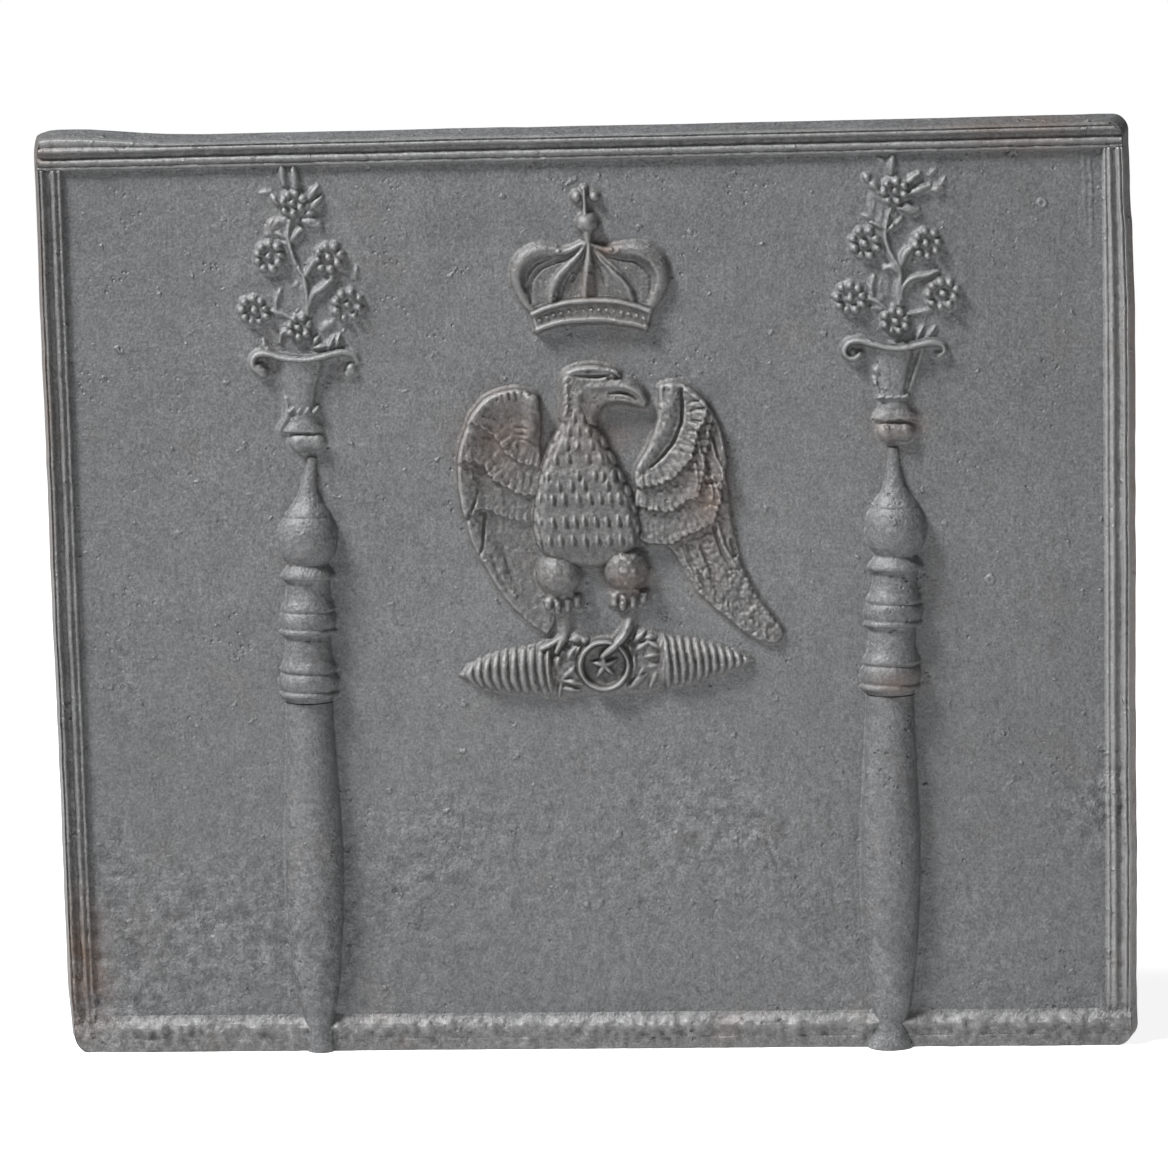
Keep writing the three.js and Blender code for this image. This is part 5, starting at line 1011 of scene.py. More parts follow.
def stemsShape(side):
    # stems as raised strokes, leaves as pointed lumps, and the hollows in the open leaves
    look = bouquetLook[side]

    def shape(x, z):
        ground = empty(x)
        for stem in look["stems"]:
            raiseStroke(ground, x, z, np.array(stem) * (1, 1, 1.35, 1.2), blend=0.4)
        for px, pz, length, lean, half, rise in look["leaves"]:
            raiseLeaf(ground, x, z, (px, pz, length, lean, half * 1.3, rise * 1.15), 0.4)
        ground += 0.5 * np.maximum(waves(x, z, 3.0, 57), 0) * (ground > 0)
        for hollow in look["hollows"]:
            addStroke(ground, x, z, hollow)
        return ground

    return shape


def rimShape(side):
    # a rolled rim as one long stroke, with lumps where it curls
    look = bouquetLook[side]

    def shape(x, z):
        ground = empty(x)
        raiseStroke(ground, x, z, np.array(look["rim"]) * (1, 1, 1.25, 1), power=2.6, blend=0.5)
        for lump in look["rimLumps"]:
            raiseStroke(ground, x, z, np.array([lump]) * (1, 1, 1.2, 1), power=2.3, blend=1.0)
        return ground

    return shape


def basketShape(side):
    # the half width follows the foot, the neck and the cup; a dark rib and raised edges run down it
    look = bouquetLook[side]

    def shape(x, z):
        half = np.interp(z, *np.array(look["cup"]).T)
        q = np.abs(x - look["axis"] - (z - 366) * 0.02) / half
        height = (0.36 * half + 1.1) * (1 - q**3.2)
        ragged = 0.6 * waves(x, z, 2.6, 44)
        height = np.where((z > 388.5) | (z < look["cup"][0][0] + 0.6 + ragged), -9, height)
        ground = np.maximum(height, -9)
        for stroke in look["ribs"]:
            addStroke(ground, x, z, stroke)
        for stroke in look["edges"]:
            raiseStroke(ground, x, z, np.array(stroke) * (1, 1, 1.8, 0.85), blend=0.8)
        start, end, count, level, lean = look["beads"]
        c, s = 1.5 * np.cos(np.radians(lean)), 1.5 * np.sin(np.radians(lean))
        for place in np.linspace(start, end, count):
            bead = [(place - c, level - s, 1.3, 5.4), (place + c, level + s, 1.3, 5.4)]
            raiseStroke(ground, x, z, bead, blend=0.1)
        return ground

    return shape


def knobShape(side):
    # a bud: two lumps run together
    def shape(x, z):
        ground = empty(x)
        raiseStroke(ground, x, z, bouquetLook[side]["knob"], power=2.6, blend=0.4)
        ground += 0.4 * np.maximum(waves(x, z, 2.0, 45), 0)
        return ground

    return shape


for side in ("left", "right"):
    print("basket", side)
    axis = bouquetLook[side]["axis"]
    shapes = {
        f"stems_{side}": stemsShape(side),
        f"knob_{side}": knobShape(side),
        f"basket_{side}": basketShape(side),
        f"basket_rim_{side}": rimShape(side),
    }
    for place in bouquetLook[side]["flowers"]:
        shapes[f"flower_{place}_of_{side}_basket"] = flowerShape(side, place)
    castGroup((axis - 36, axis + 38, 330.5, 496), "flowers", shapes, blend=0.6, fillet=1.8, melt=2)


pillarLook = {
    "left": {
        "axis": [(-3.0, -154.8), (55.0, -156.0), (100.0, -155.2), (198.0, -155.0), (236.0, -154.4),
                 (266.0, -153.4), (291.0, -153.1), (316.0, -151.6), (334.0, -149.4)],
        "foot": [(-1, 7.6), (4, 7.8), (15, 8.0), (24, 9.6)],
    },
    "right": {
        "axis": [(-3.0, 162.2), (26.0, 163.4), (99.0, 163.6), (198.0, 164.4), (236.0, 166.4),
                 (266.0, 168.2), (291.0, 168.8), (316.0, 168.0), (334.0, 167.6)],
        "foot": [(-1, 12.6), (3, 12.4), (8, 9.6), (14, 8.3), (24, 10.6)],
    },
    "shaft": [(40, 12.6), (55, 14.0), (78, 15.6), (100, 16.2), (124, 15.9), (156, 14.4), (180, 13.2),
              (197.6, 12.7)],
    "head": [  # z, radius: rings, scotia, torus, neck, ball and spire
        (198.0, 12.6), (200.4, 12.9), (200.8, 15.4), (201.4, 16.2), (202.6, 16.3), (203.4, 15.6),
        (204.2, 15.0), (205.5, 15.9), (208, 16.5), (210.5, 16.4), (212.5, 15.6), (213.6, 14.7),
        (214.4, 14.3), (215.2, 15.3), (216.4, 15.6), (218, 14.9), (221, 13.4), (225, 12.6), (230, 12.3),
        (234.0, 12.2), (235.2, 12.4), (235.6, 14.6), (236.2, 15.3), (237.4, 15.4), (238.2, 14.8),
        (238.9, 14.3), (240.2, 15.1), (242.5, 15.7), (245, 15.5), (247, 14.8), (247.9, 13.9), (248.6, 14.4),
        (249.6, 14.8), (251.5, 14.1), (254.5, 12.8), (258.5, 12.0), (262, 11.8), (265, 11.9), (265.8, 12.2),
        (266.2, 14.0), (266.9, 14.9), (268, 15.0), (269.6, 14.2), (271.8, 12.6), (273.6, 11.2),
        (274.4, 10.9), (276, 12.2), (279, 14.4), (283, 15.9), (288, 16.6), (293, 16.2), (297, 14.9),
        (299.6, 13.4), (300.4, 12.6), (301.0, 12.9), (302.5, 12.1), (305, 10.4), (308, 8.3), (312, 6.3),
        (318, 4.7), (326, 3.4), (333, 2.8),
    ],
    "flatten": 0.83,  # height of the section over its half width
    "highest": 13.85,
    "fillet": 0.13,  # of the radius, where the section meets the field
    "sparkle": (286, 13, 0.16),  # the sandy ball: height, half span, grain
}


def pillarSection(count, fillet, flatten):
    # half a unit circle whose foot runs out in an arc of radius `fillet` that touches it and the ground
    touch = np.sqrt(1 + 2 * fillet)
    low = np.arctan2(fillet, touch)
    turn = np.linspace(low, np.pi - low, count)
    arc = np.stack([np.cos(turn), np.sin(turn) * flatten], 1)
    bend = np.linspace(-np.pi / 2, low - np.pi, 7)[:-1]
    foot = np.stack([touch + fillet * np.cos(bend), (fillet + fillet * np.sin(bend)) * flatten], 1)
    return np.vstack([foot, arc, foot[::-1] * (-1, 1)])


def pillarPiece(name, side, profile, blur):
    # the section carried up the leaning axis with the profile's radius
    look = pillarLook[side]
    profile = np.array(profile, float)
    length = np.concatenate([[0], np.cumsum(np.hypot(*np.diff(profile, axis=0).T))])
    at = np.linspace(0, length[-1], int(length[-1] / 0.5))
    z, radius = (np.interp(at, length, column) for column in profile.T)
    for _ in range(blur):
        radius[1:-1] = (radius[:-2] + 2 * radius[1:-1] + radius[2:]) / 4
    axis = np.interp(z, *np.array(look["axis"]).T)
    section = pillarSection(45, pillarLook["fillet"], pillarLook["flatten"])[::-1]
    x = axis[:, None] + radius[:, None] * section[:, 0]
    zz = np.repeat(z[:, None], len(section), 1)
    height = radius[:, None] * section[:, 1] * (1 + 0.014 * waves(x, zz, 14, 41))
    middle, span, grain = pillarLook["sparkle"]
    skin = castSkin(x, zz) + grain * waves(x, zz, 1.5, 46) * np.exp(-((zz - middle) / span) ** 2)
    height = height + fieldHeight(x, zz) - castingLook["sink"] + skin * easeIn(height / 3)
    height = np.minimum(height, pillarLook["highest"])
    front = np.stack([x, faceY - height, zz], -1)
    back = np.stack([x, np.full_like(x, castingLook["floor"]), zz], -1)
    inside = np.ones((x.shape[0] - 1, x.shape[1] - 1), bool)
    points, quads, flat, used = closeSheet(inside, front, back)
    # painted shade where the turned profile narrows, and lighter bulges, partly wear and partly painted
    # highlight
    bulge = radius - spread(radius[:, None].repeat(3, 1), 14)[:, 1]
    shadeAndWear = np.clip(0.5 + 0.3 * bulge[:, None] + 0.4 * (skin - spread(skin, 4)), 0, 1)
    shade = np.concatenate([shadeAndWear.ravel(), np.full(shadeAndWear.size, 0.5)])[used]
    makePiece(name, points, [quads], flat, "pillar", [name], shade)


print("pillars")
for side in ("left", "right"):
    foot = pillarLook[side]["foot"]
    pillarPiece(f"pillar_shaft_{side}", side, [(0.1, foot[0][1]), *foot[1:], *pillarLook["shaft"]], 3)
    pillarPiece(f"pillar_head_{side}", side, pillarLook["head"], 1)


plateLook = {
    "half": 300.0, "top": 510.0, "thickness": 14.0,
    "draft": np.tan(np.radians(16.5)),
    "corner": 9.0,
    "swell": [(-300, 0.0), (-296.5, 2.4), (-291, 4.1), (-285, 4.6), (-277, 4.6), (-268, 4.2), (-255, 3.2),
              (-240, 2.0), (-225, 0.9), (-210, 0.2), (-201, 0.0)],
    "lean": (396, 104, 3.4),  # the right edge: from this height up, over this span, by this much
    "eaten": (44, 40, 1.7),  # the left edge, downwards
    "waver": {"right": [(0.35, 38, 61), (0.2, 9, 62)], "left": [(0.35, 52, 63), (0.15, 11, 64)],
              "top": [(0.3, 60, 65), (0.12, 14, 66)]},  # rise, size, seed
    "rubbedHighlightAndShade": {"border_right": 0.34, "border_bottom": 0.3, "border_top": 0.15},  # raised parts lighter, partly by wear and partly as painted highlight
    "step": 2.0,
    "moulding": [  # distance in from the back's edge, height
        (4.15, 0.0), (4.45, 2.6), (4.8, 4.6), (5.3, 5.2), (5.9, 4.9), (6.2, 4.1), (6.5, 4.3), (6.9, 5.4),
        (7.6, 5.7), (8.2, 5.3), (8.7, 4.1), (9.4, 2.5), (10.4, 1.7), (11.4, 1.7), (12.1, 2.5), (12.7, 3.7),
        (13.5, 4.4), (14.4, 4.4), (15.1, 3.7), (15.6, 2.7), (16.0, 2.6), (16.5, 3.1), (17.2, 3.3),
        (17.9, 2.9), (18.4, 1.6), (18.9, 0.3), (19.6, -0.4)],
    "lip": [(0.0, 0.9), (1.6, 1.6), (5.0, 2.2), (9.0, 2.6), (12.0, 3.6), (14.2, 4.5), (16.0, 3.8),
            (17.6, 2.2), (19.2, 0.8), (20.8, 0.0), (22.0, -0.4)],
}


def swellOf(x):
    # how far the top edge swells up near its left corner
    places, rises = np.array(plateLook["swell"]).T
    return np.interp(x, places, rises)


def waver(x, z, side):
    # the sum of rise * (1 + waves), so never below nought
    return sum(rise * (1 + waves(x, z, size, seed)) for rise, size, seed in plateLook["waver"][side])


def settleEdges(x, z):
    # the casting's worn outline: it leans in at the upper right, is eaten away at the lower left,
    # and wavers by less than half a millimetre; it only ever moves inwards
    right = easeIn((x - 276) / 20)
    left = easeIn((-x - 276) / 20)
    high = easeIn((z - 486) / 20)
    start, span, most = plateLook["lean"]
    lean = most * easeIn((z - start) / span) + waver(x * 0, z, "right")
    start, span, most = plateLook["eaten"]
    eaten = most * easeIn((start - z) / span) + waver(x * 0, z, "left")
    return x - right * lean + left * eaten, z - high * waver(x, z * 0, "top")


def roundCorners(x, z, inset):
    # draws in the ends of each row where a corner rounds: r - sqrt(r^2 - (r - edge)^2)
    look = plateLook
    r = look["corner"]
    top = look["top"] - inset
    low = np.maximum(r - np.maximum(z, 0), 0)
    highRight = np.maximum(r - np.maximum(top - z, 0), 0)
    leftTop = np.maximum(r - np.maximum(top + swellOf(x) - z, 0), 0) * 0.55
    away = {"left": np.maximum(low, leftTop), "right": np.maximum(low, highRight)}
    half = look["half"] - inset
    limit = {side: half - (r - np.sqrt(np.maximum(r * r - reach * reach, 0)))
             for side, reach in away.items()}
    return np.clip(x, -limit["left"], limit["right"])


def plateSheet(inset, shape, columns, rows):
    # a grid over the outline that lies `inset` inside the back's edge (its foot stays square)
    look = plateLook
    fine = np.array([0.0005, 0.0012, 0.0022])  # extra rows that round the corners
    levels = np.sort(np.concatenate([np.linspace(0, 1, rows + 1), fine, 1 - fine]))
    u, v = np.meshgrid(np.linspace(-1, 1, columns + 1), levels)
    x = u * (look["half"] - inset)
    z = v * (look["top"] - inset + swellOf(x))
    x, z = settleEdges(roundCorners(x, z, inset), z)
    return np.stack([x, shape(x, z), z], -1)


def platePiece():
    # the front is a fine grid, its drafted sides a wall, and the flat back a fan about its middle
    look = plateLook
    columns, rows = int(2 * look["half"] / look["step"]), int(look["top"] / look["step"])
    inset = look["thickness"] * look["draft"]
    front = plateSheet(inset, lambda x, z: faceY - fieldHeight(x, z), columns, rows)
    back = plateSheet(0, lambda x, z: np.full_like(x, 14.0), columns, rows)
    index = np.arange(front.shape[0] * front.shape[1]).reshape(front.shape[:2])
    grid = np.stack([index[:-1, :-1], index[:-1, 1:], index[1:, 1:], index[1:, :-1]], -1).reshape(-1, 4)
    rim = np.concatenate([index[0, :-1], index[:-1, -1], index[-1, :0:-1], index[:0:-1, 0]])
    count, around = index.size, len(rim)
    outer = count + np.arange(around)
    following = np.roll(np.arange(around), -1)
    wall = np.stack([rim[following], rim, outer, outer[following]], 1)
    middle = np.full(around, count + around)
    fan = np.stack([outer[following], outer, middle], 1)
    points = np.vstack([front.reshape(-1, 3), back.reshape(-1, 3)[rim], [[0.0, 14.0, look["top"] / 2]]])
    flat = np.concatenate([np.zeros(len(grid), bool), np.ones(2 * around, bool)])
    # painted shade in the field's hollows and lighter swells, partly wear and partly painted highlight
    shade = np.concatenate([shadeAndWearOf(faceY - front[:, :, 1]).ravel(), np.full(around + 1, 0.5)])
    makePiece("plate", points, [grid, wall, fan], flat, "field", ["plate"], shade)


def moulding(name, profile, start, along, inwards, length, turned):
    # the profile's points carried along the edge, worn by waves; the outer slope follows the draft
    profile = np.array(profile, float)
    distance = np.concatenate([[0], np.cumsum(np.hypot(*np.diff(profile, axis=0).T))])
    inward, height = (np.interp(np.linspace(0, distance[-1], 64), distance, column) for column in profile.T)
    run = np.linspace(0, length, int(length / 1.3) + 1)[:, None]
    x = start[0] + along[0] * run + inwards[0] * inward
    z = start[1] + along[1] * run + inwards[1] * inward
    rise = np.repeat(height[None, :], len(run), 0)
    worn = 1 - 0.07 * (1 + waves(x, z, 33, 51)) - 0.05 * waves(x, z, 9, 52)
    if name == "border_left":
        worn = worn * (0.5 + 0.5 * easeIn((z - 22) / 50)) + 0.2 * roughness(x, z) * waves(x, z, 5, 53)
    if name == "border_right":
        worn = worn * (0.35 + 0.65 * easeIn((z - 20) / 26)) * (1 - 0.12 * (1 + waves(x, z, 19, 54)))
    if name == "border_bottom":
        crest = 0.55 + 0.45 * waves(x, z * 0, 17, 55) + 0.35 * waves(x, z, 6, 56)
        worn = np.where(z > 7, worn * np.clip(0.6 + 0.55 * crest, 0.15, 1.5), worn)
        worn = worn * (0.3 + 0.7 * easeIn((x + 284) / 26))
        worn = worn * (1 + 0.3 * waves(x, z, 5, 58) + 0.2 * waves(x, z, 2.8, 59))
    rise = rise * worn + fieldHeight(x, z) + 1.4 * castSkin(x, z) * easeIn(rise / 2)
    slope, look = plateLook["draft"], plateLook
    inset = (look["thickness"] + rise) * slope
    if name == "border_top":
        carried = easeIn((7.4 - inward) / 3.2) * swellOf(x)
        z = z + carried
    x = roundCorners(np.clip(x, -look["half"] + inset, look["half"] - inset), z, inset)
    z = np.clip(z, 0, look["top"] - inset + swellOf(x))
    x, z = settleEdges(x, z)
    front = np.stack([x, faceY - rise, z], -1)
    back = np.stack([x, np.full_like(x, castingLook["floor"]), z], -1)
    if turned:
        front, back, rise = front[:, ::-1], back[:, ::-1], rise[:, ::-1]
    inside = np.ones((front.shape[0] - 1, front.shape[1] - 1), bool)
    points, quads, flat, used = closeSheet(inside, front, back)
    # raised parts of some borders are made lighter, partly wear and partly painted highlight
    rubbedHighlightAndShade = look["rubbedHighlightAndShade"].get(name, 0)
    if name == "border_bottom":
        # painted shade: below 10 mm the bottom lip's slope, which faces down, is made darker
        rubbedHighlightAndShade = rubbedHighlightAndShade * easeIn((z - 10) / 4) - 0.1
    # painted shade in the hollows of the profile, lighter crests
    shadeAndWear = np.clip(0.5 + 0.8 * (rise - spread(rise, 5)) + rubbedHighlightAndShade * easeIn(rise / 2), 0, 1)
    shade = np.concatenate([shadeAndWear.ravel(), np.full(shadeAndWear.size, 0.5)])[used]
    makePiece(name, points, [quads], flat, "border", [name], shade)


print("plate and border")
platePiece()
half, top = plateLook["half"], plateLook["top"]
moulding("border_top", plateLook["moulding"], (-half, top), (1, 0), (0, -1), 2 * half, True)
moulding("border_left", plateLook["moulding"], (-half, 18.0), (0, 1), (1, 0), top - 36.0, True)
moulding("border_right", plateLook["moulding"], (half, 18.0), (0, 1), (-1, 0), top - 36.0, False)
moulding("border_bottom", plateLook["lip"], (-half, 0.0), (1, 0), (0, 1), 2 * half, False)


marksLook = {
    "nubs": [(59.6, 451.4, 1.3, 1.1), (195.1, 291.2, 1.5, 1.3), (122.6, 259.5, 1.3, 1.0),
             (-4.3, 81.5, 1.7, 1.4), (-251.0, 420.0, 0.9, 0.6), (-108.0, 305.0, 0.9, 0.6),
             (238.0, 392.0, 0.8, 0.6), (226.0, 175.0, 1.1, 0.9), (-83.0, 118.0, 1.2, 0.8),
             (112.0, 176.0, 1.0, 0.8), (-226.0, 150.0, 1.1, 0.8), (46.0, 122.0, 1.1, 0.9)],
    "rings": [(248.6, 463.0, 2.6, 1.1), (219.2, 259.7, 2.8, 1.0)],
    "scars": [
        [(-289.0, 21.0, 1.2, 1.2), (-284.0, 15.6, 1.8, 1.9), (-278.0, 9.0, 1.3, 1.3)],
        [(-118.0, 252.0, 0.8, 0.5), (-106.0, 238.0, 0.9, 0.6), (-96.0, 231.0, 0.7, 0.4)],
        [(88.0, 118.0, 1.2, 1.0), (94.0, 110.0, 1.6, 1.4), (98.0, 103.0, 1.2, 1.0)],
        [(262.0, 140.0, 1.6, 1.0), (270.0, 132.0, 2.0, 1.4), (276.0, 122.0, 1.6, 1.0)],
        [(273.5, 505.0, 0.5, 0.7), (274.6, 470.0, 0.6, 0.9), (274.9, 440.0, 0.5, 0.6)],
        [(270.6, 500.0, 0.5, 0.5), (271.4, 472.0, 0.6, 0.7), (271.6, 450.0, 0.4, 0.4)],
    ],
}


def castingMarks(x, z):
    # nubs, little rings and scars left by the sand
    ground = np.full(x.shape, -9.0)
    for nub in marksLook["nubs"]:
        raiseStroke(ground, x, z, [nub], blend=0.1)
    for px, pz, size, rise in marksLook["rings"]:
        turn = np.linspace(0, 2 * np.pi, 9)
        ring = [(px + 0.7 * size * np.cos(a), pz + 0.7 * size * np.sin(a), 0.3 * size, rise) for a in turn]
        raiseStroke(ground, x, z, ring, blend=0.1)
    for scar in marksLook["scars"]:
        raiseStroke(ground, x, z, np.array(scar) * (1, 1, 1.7, 0.6), blend=0.4)
    return ground


print("casting marks")
castGroup((-292, 282, 4, 507), "field", {"casting_marks": castingMarks}, fillet=0.7, step=0.6, nodes=False)


# dark is the colour of the painted shade in hollows and of the pits; light is the edges' colour, partly
# wear and partly painted highlight
ironLook = {
    "field": {"base": (0.164, 0.168, 0.172), "dark": (0.090, 0.091, 0.094), "light": (0.28, 0.282, 0.288),
              "rust": 0.10},
    "border": {"base": (0.205, 0.206, 0.207), "dark": (0.070, 0.067, 0.064), "light": (0.36, 0.36, 0.36),
               "rust": 0.22},
    "pillar": {"base": (0.164, 0.167, 0.171), "dark": (0.070, 0.070, 0.072), "light": (0.32, 0.322, 0.328),
               "rust": 0.08},
    "flowers": {"base": (0.172, 0.175, 0.178), "dark": (0.080, 0.080, 0.082), "light": (0.34, 0.34, 0.342),
                "rust": 0.08},
    "emblem": {"base": (0.142, 0.140, 0.139), "dark": (0.060, 0.056, 0.053), "light": (0.36, 0.36, 0.36),
               "rust": 0.10},
    "rustColour": (0.19, 0.115, 0.075),
}


def castIron(slot, look):
    # grey iron: the base colour times clouds, mottling and a sandy speckle, a little darker away from
    # the middle, with painted shade in the hollows and lighter edges (partly wear, partly painted
    # highlight) as the shade-and-wear value marks them; rust and roughness follow their attributes, and
    # small pits and lumps are strewn over it
    material = bpy.data.materials.new(f"cast_iron_{slot}")
    material.use_nodes = True
    nodes, links = material.node_tree.nodes, material.node_tree.links
    nodes.clear()
    output = nodes.new("ShaderNodeOutputMaterial")
    shader = nodes.new("ShaderNodeBsdfPrincipled")
    shader.inputs["Metallic"].default_value = 0.3
    links.new(shader.outputs[0], output.inputs[0])
    place = nodes.new("ShaderNodeTexCoord")

    def put(socket, value):
        # a number or a colour is set on the socket, anything else is linked to it
        if isinstance(value, (int, float)):
            socket.default_value = value
        elif isinstance(value, tuple):
            socket.default_value = (*value, 1) if len(socket.default_value) == 4 else value
        else:
            links.new(value, socket)

    def noise(scale, detail, rough=0.55):
        # fractal noise from 0 to 1, fixed to the object
        node = nodes.new("ShaderNodeTexNoise")
        put(node.inputs["Scale"], scale)
        put(node.inputs["Detail"], detail)
        put(node.inputs["Roughness"], rough)
        links.new(place.outputs["Object"], node.inputs["Vector"])
        return node.outputs["Fac"]

    def remap(value, low, high, toLow=0.0, toHigh=1.0):
        # low..high stretched to toLow..toHigh and held at its ends
        node = nodes.new("ShaderNodeMapRange")
        for socket, number in zip(("From Min", "From Max", "To Min", "To Max"), (low, high, toLow, toHigh)):
            put(node.inputs[socket], number)
        links.new(value, node.inputs["Value"])
        return node.outputs["Result"]

    def maths(operation, first, second):
        # one operation on two values
        node = nodes.new("ShaderNodeMath")
        node.operation = operation
        put(node.inputs[0], first)
        put(node.inputs[1], second)
        return node.outputs[0]

    def mix(factor, first, second):
        # first * (1 - factor) + second * factor
        node = nodes.new("ShaderNodeMix")
        node.data_type = "RGBA"
        put(node.inputs[0], factor)
        put(node.inputs[6], first)
        put(node.inputs[7], second)
        return node.outputs[2]

    def attribute(name):
        # a value that the mesh's points carry
        node = nodes.new("ShaderNodeAttribute")
        node.attribute_name = name
        return node.outputs["Fac"]

    def bump(height, strength, distance, below=None):
        # tilts the normal by the slope of height * distance, on top of the bump below
        node = nodes.new("ShaderNodeBump")
        put(node.inputs["Strength"], strength)
        put(node.inputs["Distance"], distance)
        put(node.inputs["Height"], height)
        if below:
            put(node.inputs["Normal"], below)
        return node.outputs[0]

    shadeAndWear, rust, rough = attribute("shadeAndWear"), attribute("rust"), attribute("rough")
    speckle, grain = noise(620, 3, 0.7), noise(1300, 2)
    clouds, mottling = remap(noise(9, 4), 0.35, 0.65, 0.95, 1.05), remap(noise(60, 3), 0.3, 0.7, 0.9, 1.1)
    level = maths("MULTIPLY", clouds, mottling)
    level = maths("MULTIPLY", level, remap(speckle, 0.33, 0.67, 0.68, 1.32))
    level = maths("MULTIPLY", level, remap(grain, 0.3, 0.7, 0.86, 1.14))
    level = maths("MULTIPLY", level, remap(noise(240, 4, 0.7), 0.34, 0.66, 0.84, 1.16))
    away = nodes.new("ShaderNodeVectorMath")
    away.operation = "DISTANCE"
    links.new(place.outputs["Object"], away.inputs[0])
    put(away.inputs[1], (0.02, 0.0, 0.27))
    level = maths("MULTIPLY", level, remap(away.outputs["Value"], 0.06, 0.36, 1.07, 0.9))
    blotched = maths("MULTIPLY", rough, remap(noise(150, 5, 0.75), 0.36, 0.64, -0.34, 0.4))
    level = maths("MULTIPLY", level, maths("ADD", blotched, 1.0))
    tinted = nodes.new("ShaderNodeVectorMath")
    tinted.operation = "SCALE"
    put(tinted.inputs[0], look["base"])
    put(tinted.inputs["Scale"], level)
    # painted shade: where the shade-and-wear value is low, in the hollows, the colour goes towards dark
    colour = mix(remap(shadeAndWear, 0.44, 0.08, 0, 0.8), tinted.outputs[0], look["dark"])
    # lighter edges where the shade-and-wear value is high: partly wear, partly painted highlight
    colour = mix(remap(shadeAndWear, 0.55, 0.95, 0, 0.6), colour, look["light"])
    pits = nodes.new("ShaderNodeTexVoronoi")
    put(pits.inputs["Scale"], 210)
    links.new(place.outputs["Object"], pits.inputs["Vector"])
    pitted = maths("MULTIPLY", remap(pits.outputs["Distance"], 0.26, 0.1), remap(noise(33, 3), 0.52, 0.68))
    colour = mix(maths("MULTIPLY", pitted, 0.6), colour, look["dark"])
    patchy = remap(noise(45, 5, 0.7), 0.38, 0.62, 0.25, 1)
    rusty = maths("MULTIPLY", remap(noise(22, 5, 0.65), 0.55, 0.76), look["rust"])
    rusty = maths("ADD", maths("MULTIPLY", rust, patchy), rusty)
    colour = mix(maths("MINIMUM", rusty, 0.85), colour, ironLook["rustColour"])
    put(shader.inputs["Base Color"], colour)
    put(shader.inputs["Roughness"], remap(speckle, 0.3, 0.7, 0.46, 0.62))
    deep = bump(noise(75, 4, 0.6), maths("ADD", maths("MULTIPLY", rough, 0.5), 0.15), 0.004)
    peel = bump(noise(210, 4, 0.62), maths("ADD", maths("MULTIPLY", rough, 0.45), 0.4), 0.0016, deep)
    sand = bump(noise(620, 4, 0.65), maths("ADD", maths("MULTIPLY", rough, 0.3), 0.62), 0.0008, peel)
    pocked = maths("SUBTRACT", remap(noise(105, 2), 0.67, 0.76), pitted)
    put(shader.inputs["Normal"], bump(pocked, 0.7, 0.0014, sand))
    return material


for slot, pieces in slotPieces.items():
    iron = castIron(slot, ironLook[slot])
    for piece in pieces:
        piece.data.materials.append(iron)
print("materials:", len(slotPieces))

stageLook = {
    "key": {"place": (-2.6, -1.6, 4.2), "size": 1.2, "watts": 430},
    "fill": {"place": (2.2, -3.4, 1.2), "size": 2.4, "watts": 7},
    "world": 0.07,
    "floor": 0.6,
    "glow": 0.86,
}


def raySwitch(nodes, links, second):
    # 1 for camera rays and for the second kind, otherwise 0
    rays = nodes.new("ShaderNodeLightPath")
    seen = nodes.new("ShaderNodeMath")
    seen.operation = "MAXIMUM"
    links.new(rays.outputs["Is Camera Ray"], seen.inputs[0])
    links.new(rays.outputs[second], seen.inputs[1])
    return seen.outputs[0]


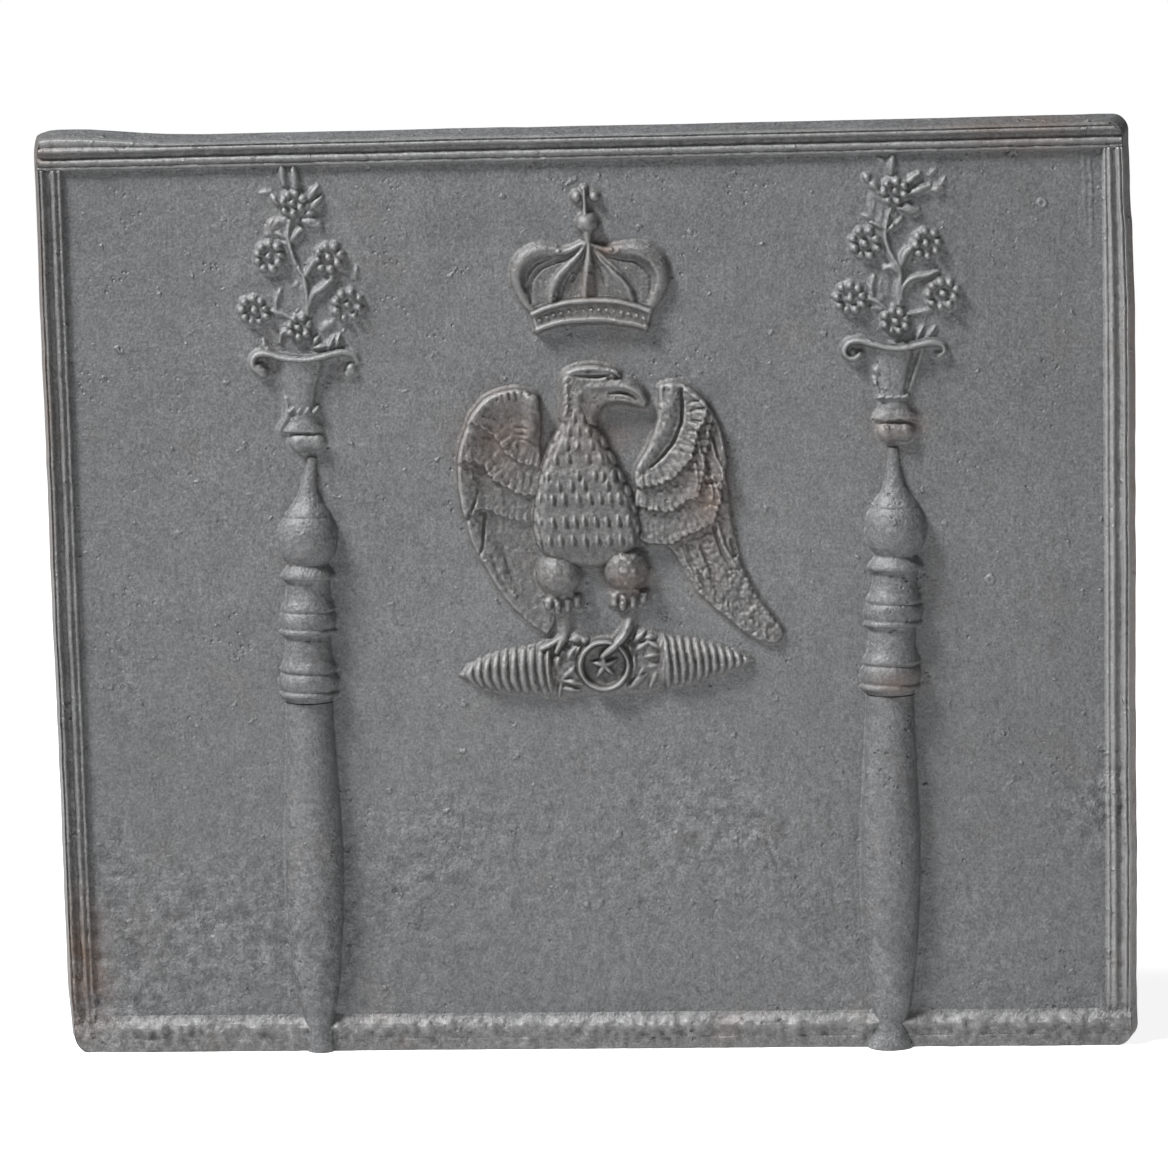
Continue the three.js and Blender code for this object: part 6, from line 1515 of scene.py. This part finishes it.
def paleFloor(look):
    # camera and mirror rays see near white, and everything else sees a plain pale grey
    material = bpy.data.materials.new("pale_floor")
    material.use_nodes = True
    nodes, links = material.node_tree.nodes, material.node_tree.links
    shader = nodes["Principled BSDF"]
    shader.inputs["Base Color"].default_value = (look["floor"],) * 3 + (1,)
    shader.inputs["Roughness"].default_value = 0.9
    shader.inputs["Specular IOR Level"].default_value = 0.1
    glow = nodes.new("ShaderNodeMath")
    glow.operation = "MULTIPLY"
    glow.inputs[1].default_value = look["glow"]
    links.new(raySwitch(nodes, links, "Is Glossy Ray"), glow.inputs[0])
    shader.inputs["Emission Color"].default_value = (1, 1, 1, 1)
    links.new(glow.outputs[0], shader.inputs["Emission Strength"])
    return material


def setWorld(look):
    # a dim room for the light, and plain white for the camera
    world = bpy.data.worlds.new("studio")
    world.use_nodes = True
    nodes, links = world.node_tree.nodes, world.node_tree.links
    nodes.clear()
    output = nodes.new("ShaderNodeOutputWorld")
    room, white = nodes.new("ShaderNodeBackground"), nodes.new("ShaderNodeBackground")
    room.inputs["Strength"].default_value = look["world"]
    white.inputs["Strength"].default_value = 1.0
    room.inputs["Color"].default_value = white.inputs["Color"].default_value = (1, 1, 1, 1)
    both = nodes.new("ShaderNodeMixShader")
    links.new(raySwitch(nodes, links, "Is Transmission Ray"), both.inputs[0])
    links.new(room.outputs[0], both.inputs[1])
    links.new(white.outputs[0], both.inputs[2])
    links.new(both.outputs[0], output.inputs[0])
    bpy.context.scene.world = world


def setLamp(name, lamp):
    # a round area lamp whose back points away from the middle of the fireback
    data = bpy.data.lights.new(name, "AREA")
    data.shape = "DISK"
    data.size = lamp["size"]
    data.energy = lamp["watts"]
    light = bpy.data.objects.new(name, data)
    place = np.array(lamp["place"])
    back = place - (0, 0, 0.27)
    back = back / np.linalg.norm(back)
    side = np.cross((0, 0, 1), back)
    side /= np.linalg.norm(side)
    turn = np.eye(4)
    turn[:3] = np.stack([side, np.cross(back, side), back, place], 1)
    light.matrix_world = Matrix(turn.tolist())
    bpy.context.scene.collection.objects.link(light)


mesh = bpy.data.meshes.new("floor")
mesh.from_pydata([(-6, -6, 0), (6, -6, 0), (6, 6, 0), (-6, 6, 0)], [], [(0, 1, 2, 3)])
floor = bpy.data.objects.new("floor", mesh)
mesh.materials.append(paleFloor(stageLook))
bpy.context.scene.collection.objects.link(floor)
setLamp("key", stageLook["key"])
setLamp("fill", stageLook["fill"])
setWorld(stageLook)
bpy.context.scene.view_settings.view_transform = "Standard"
print("stage set")
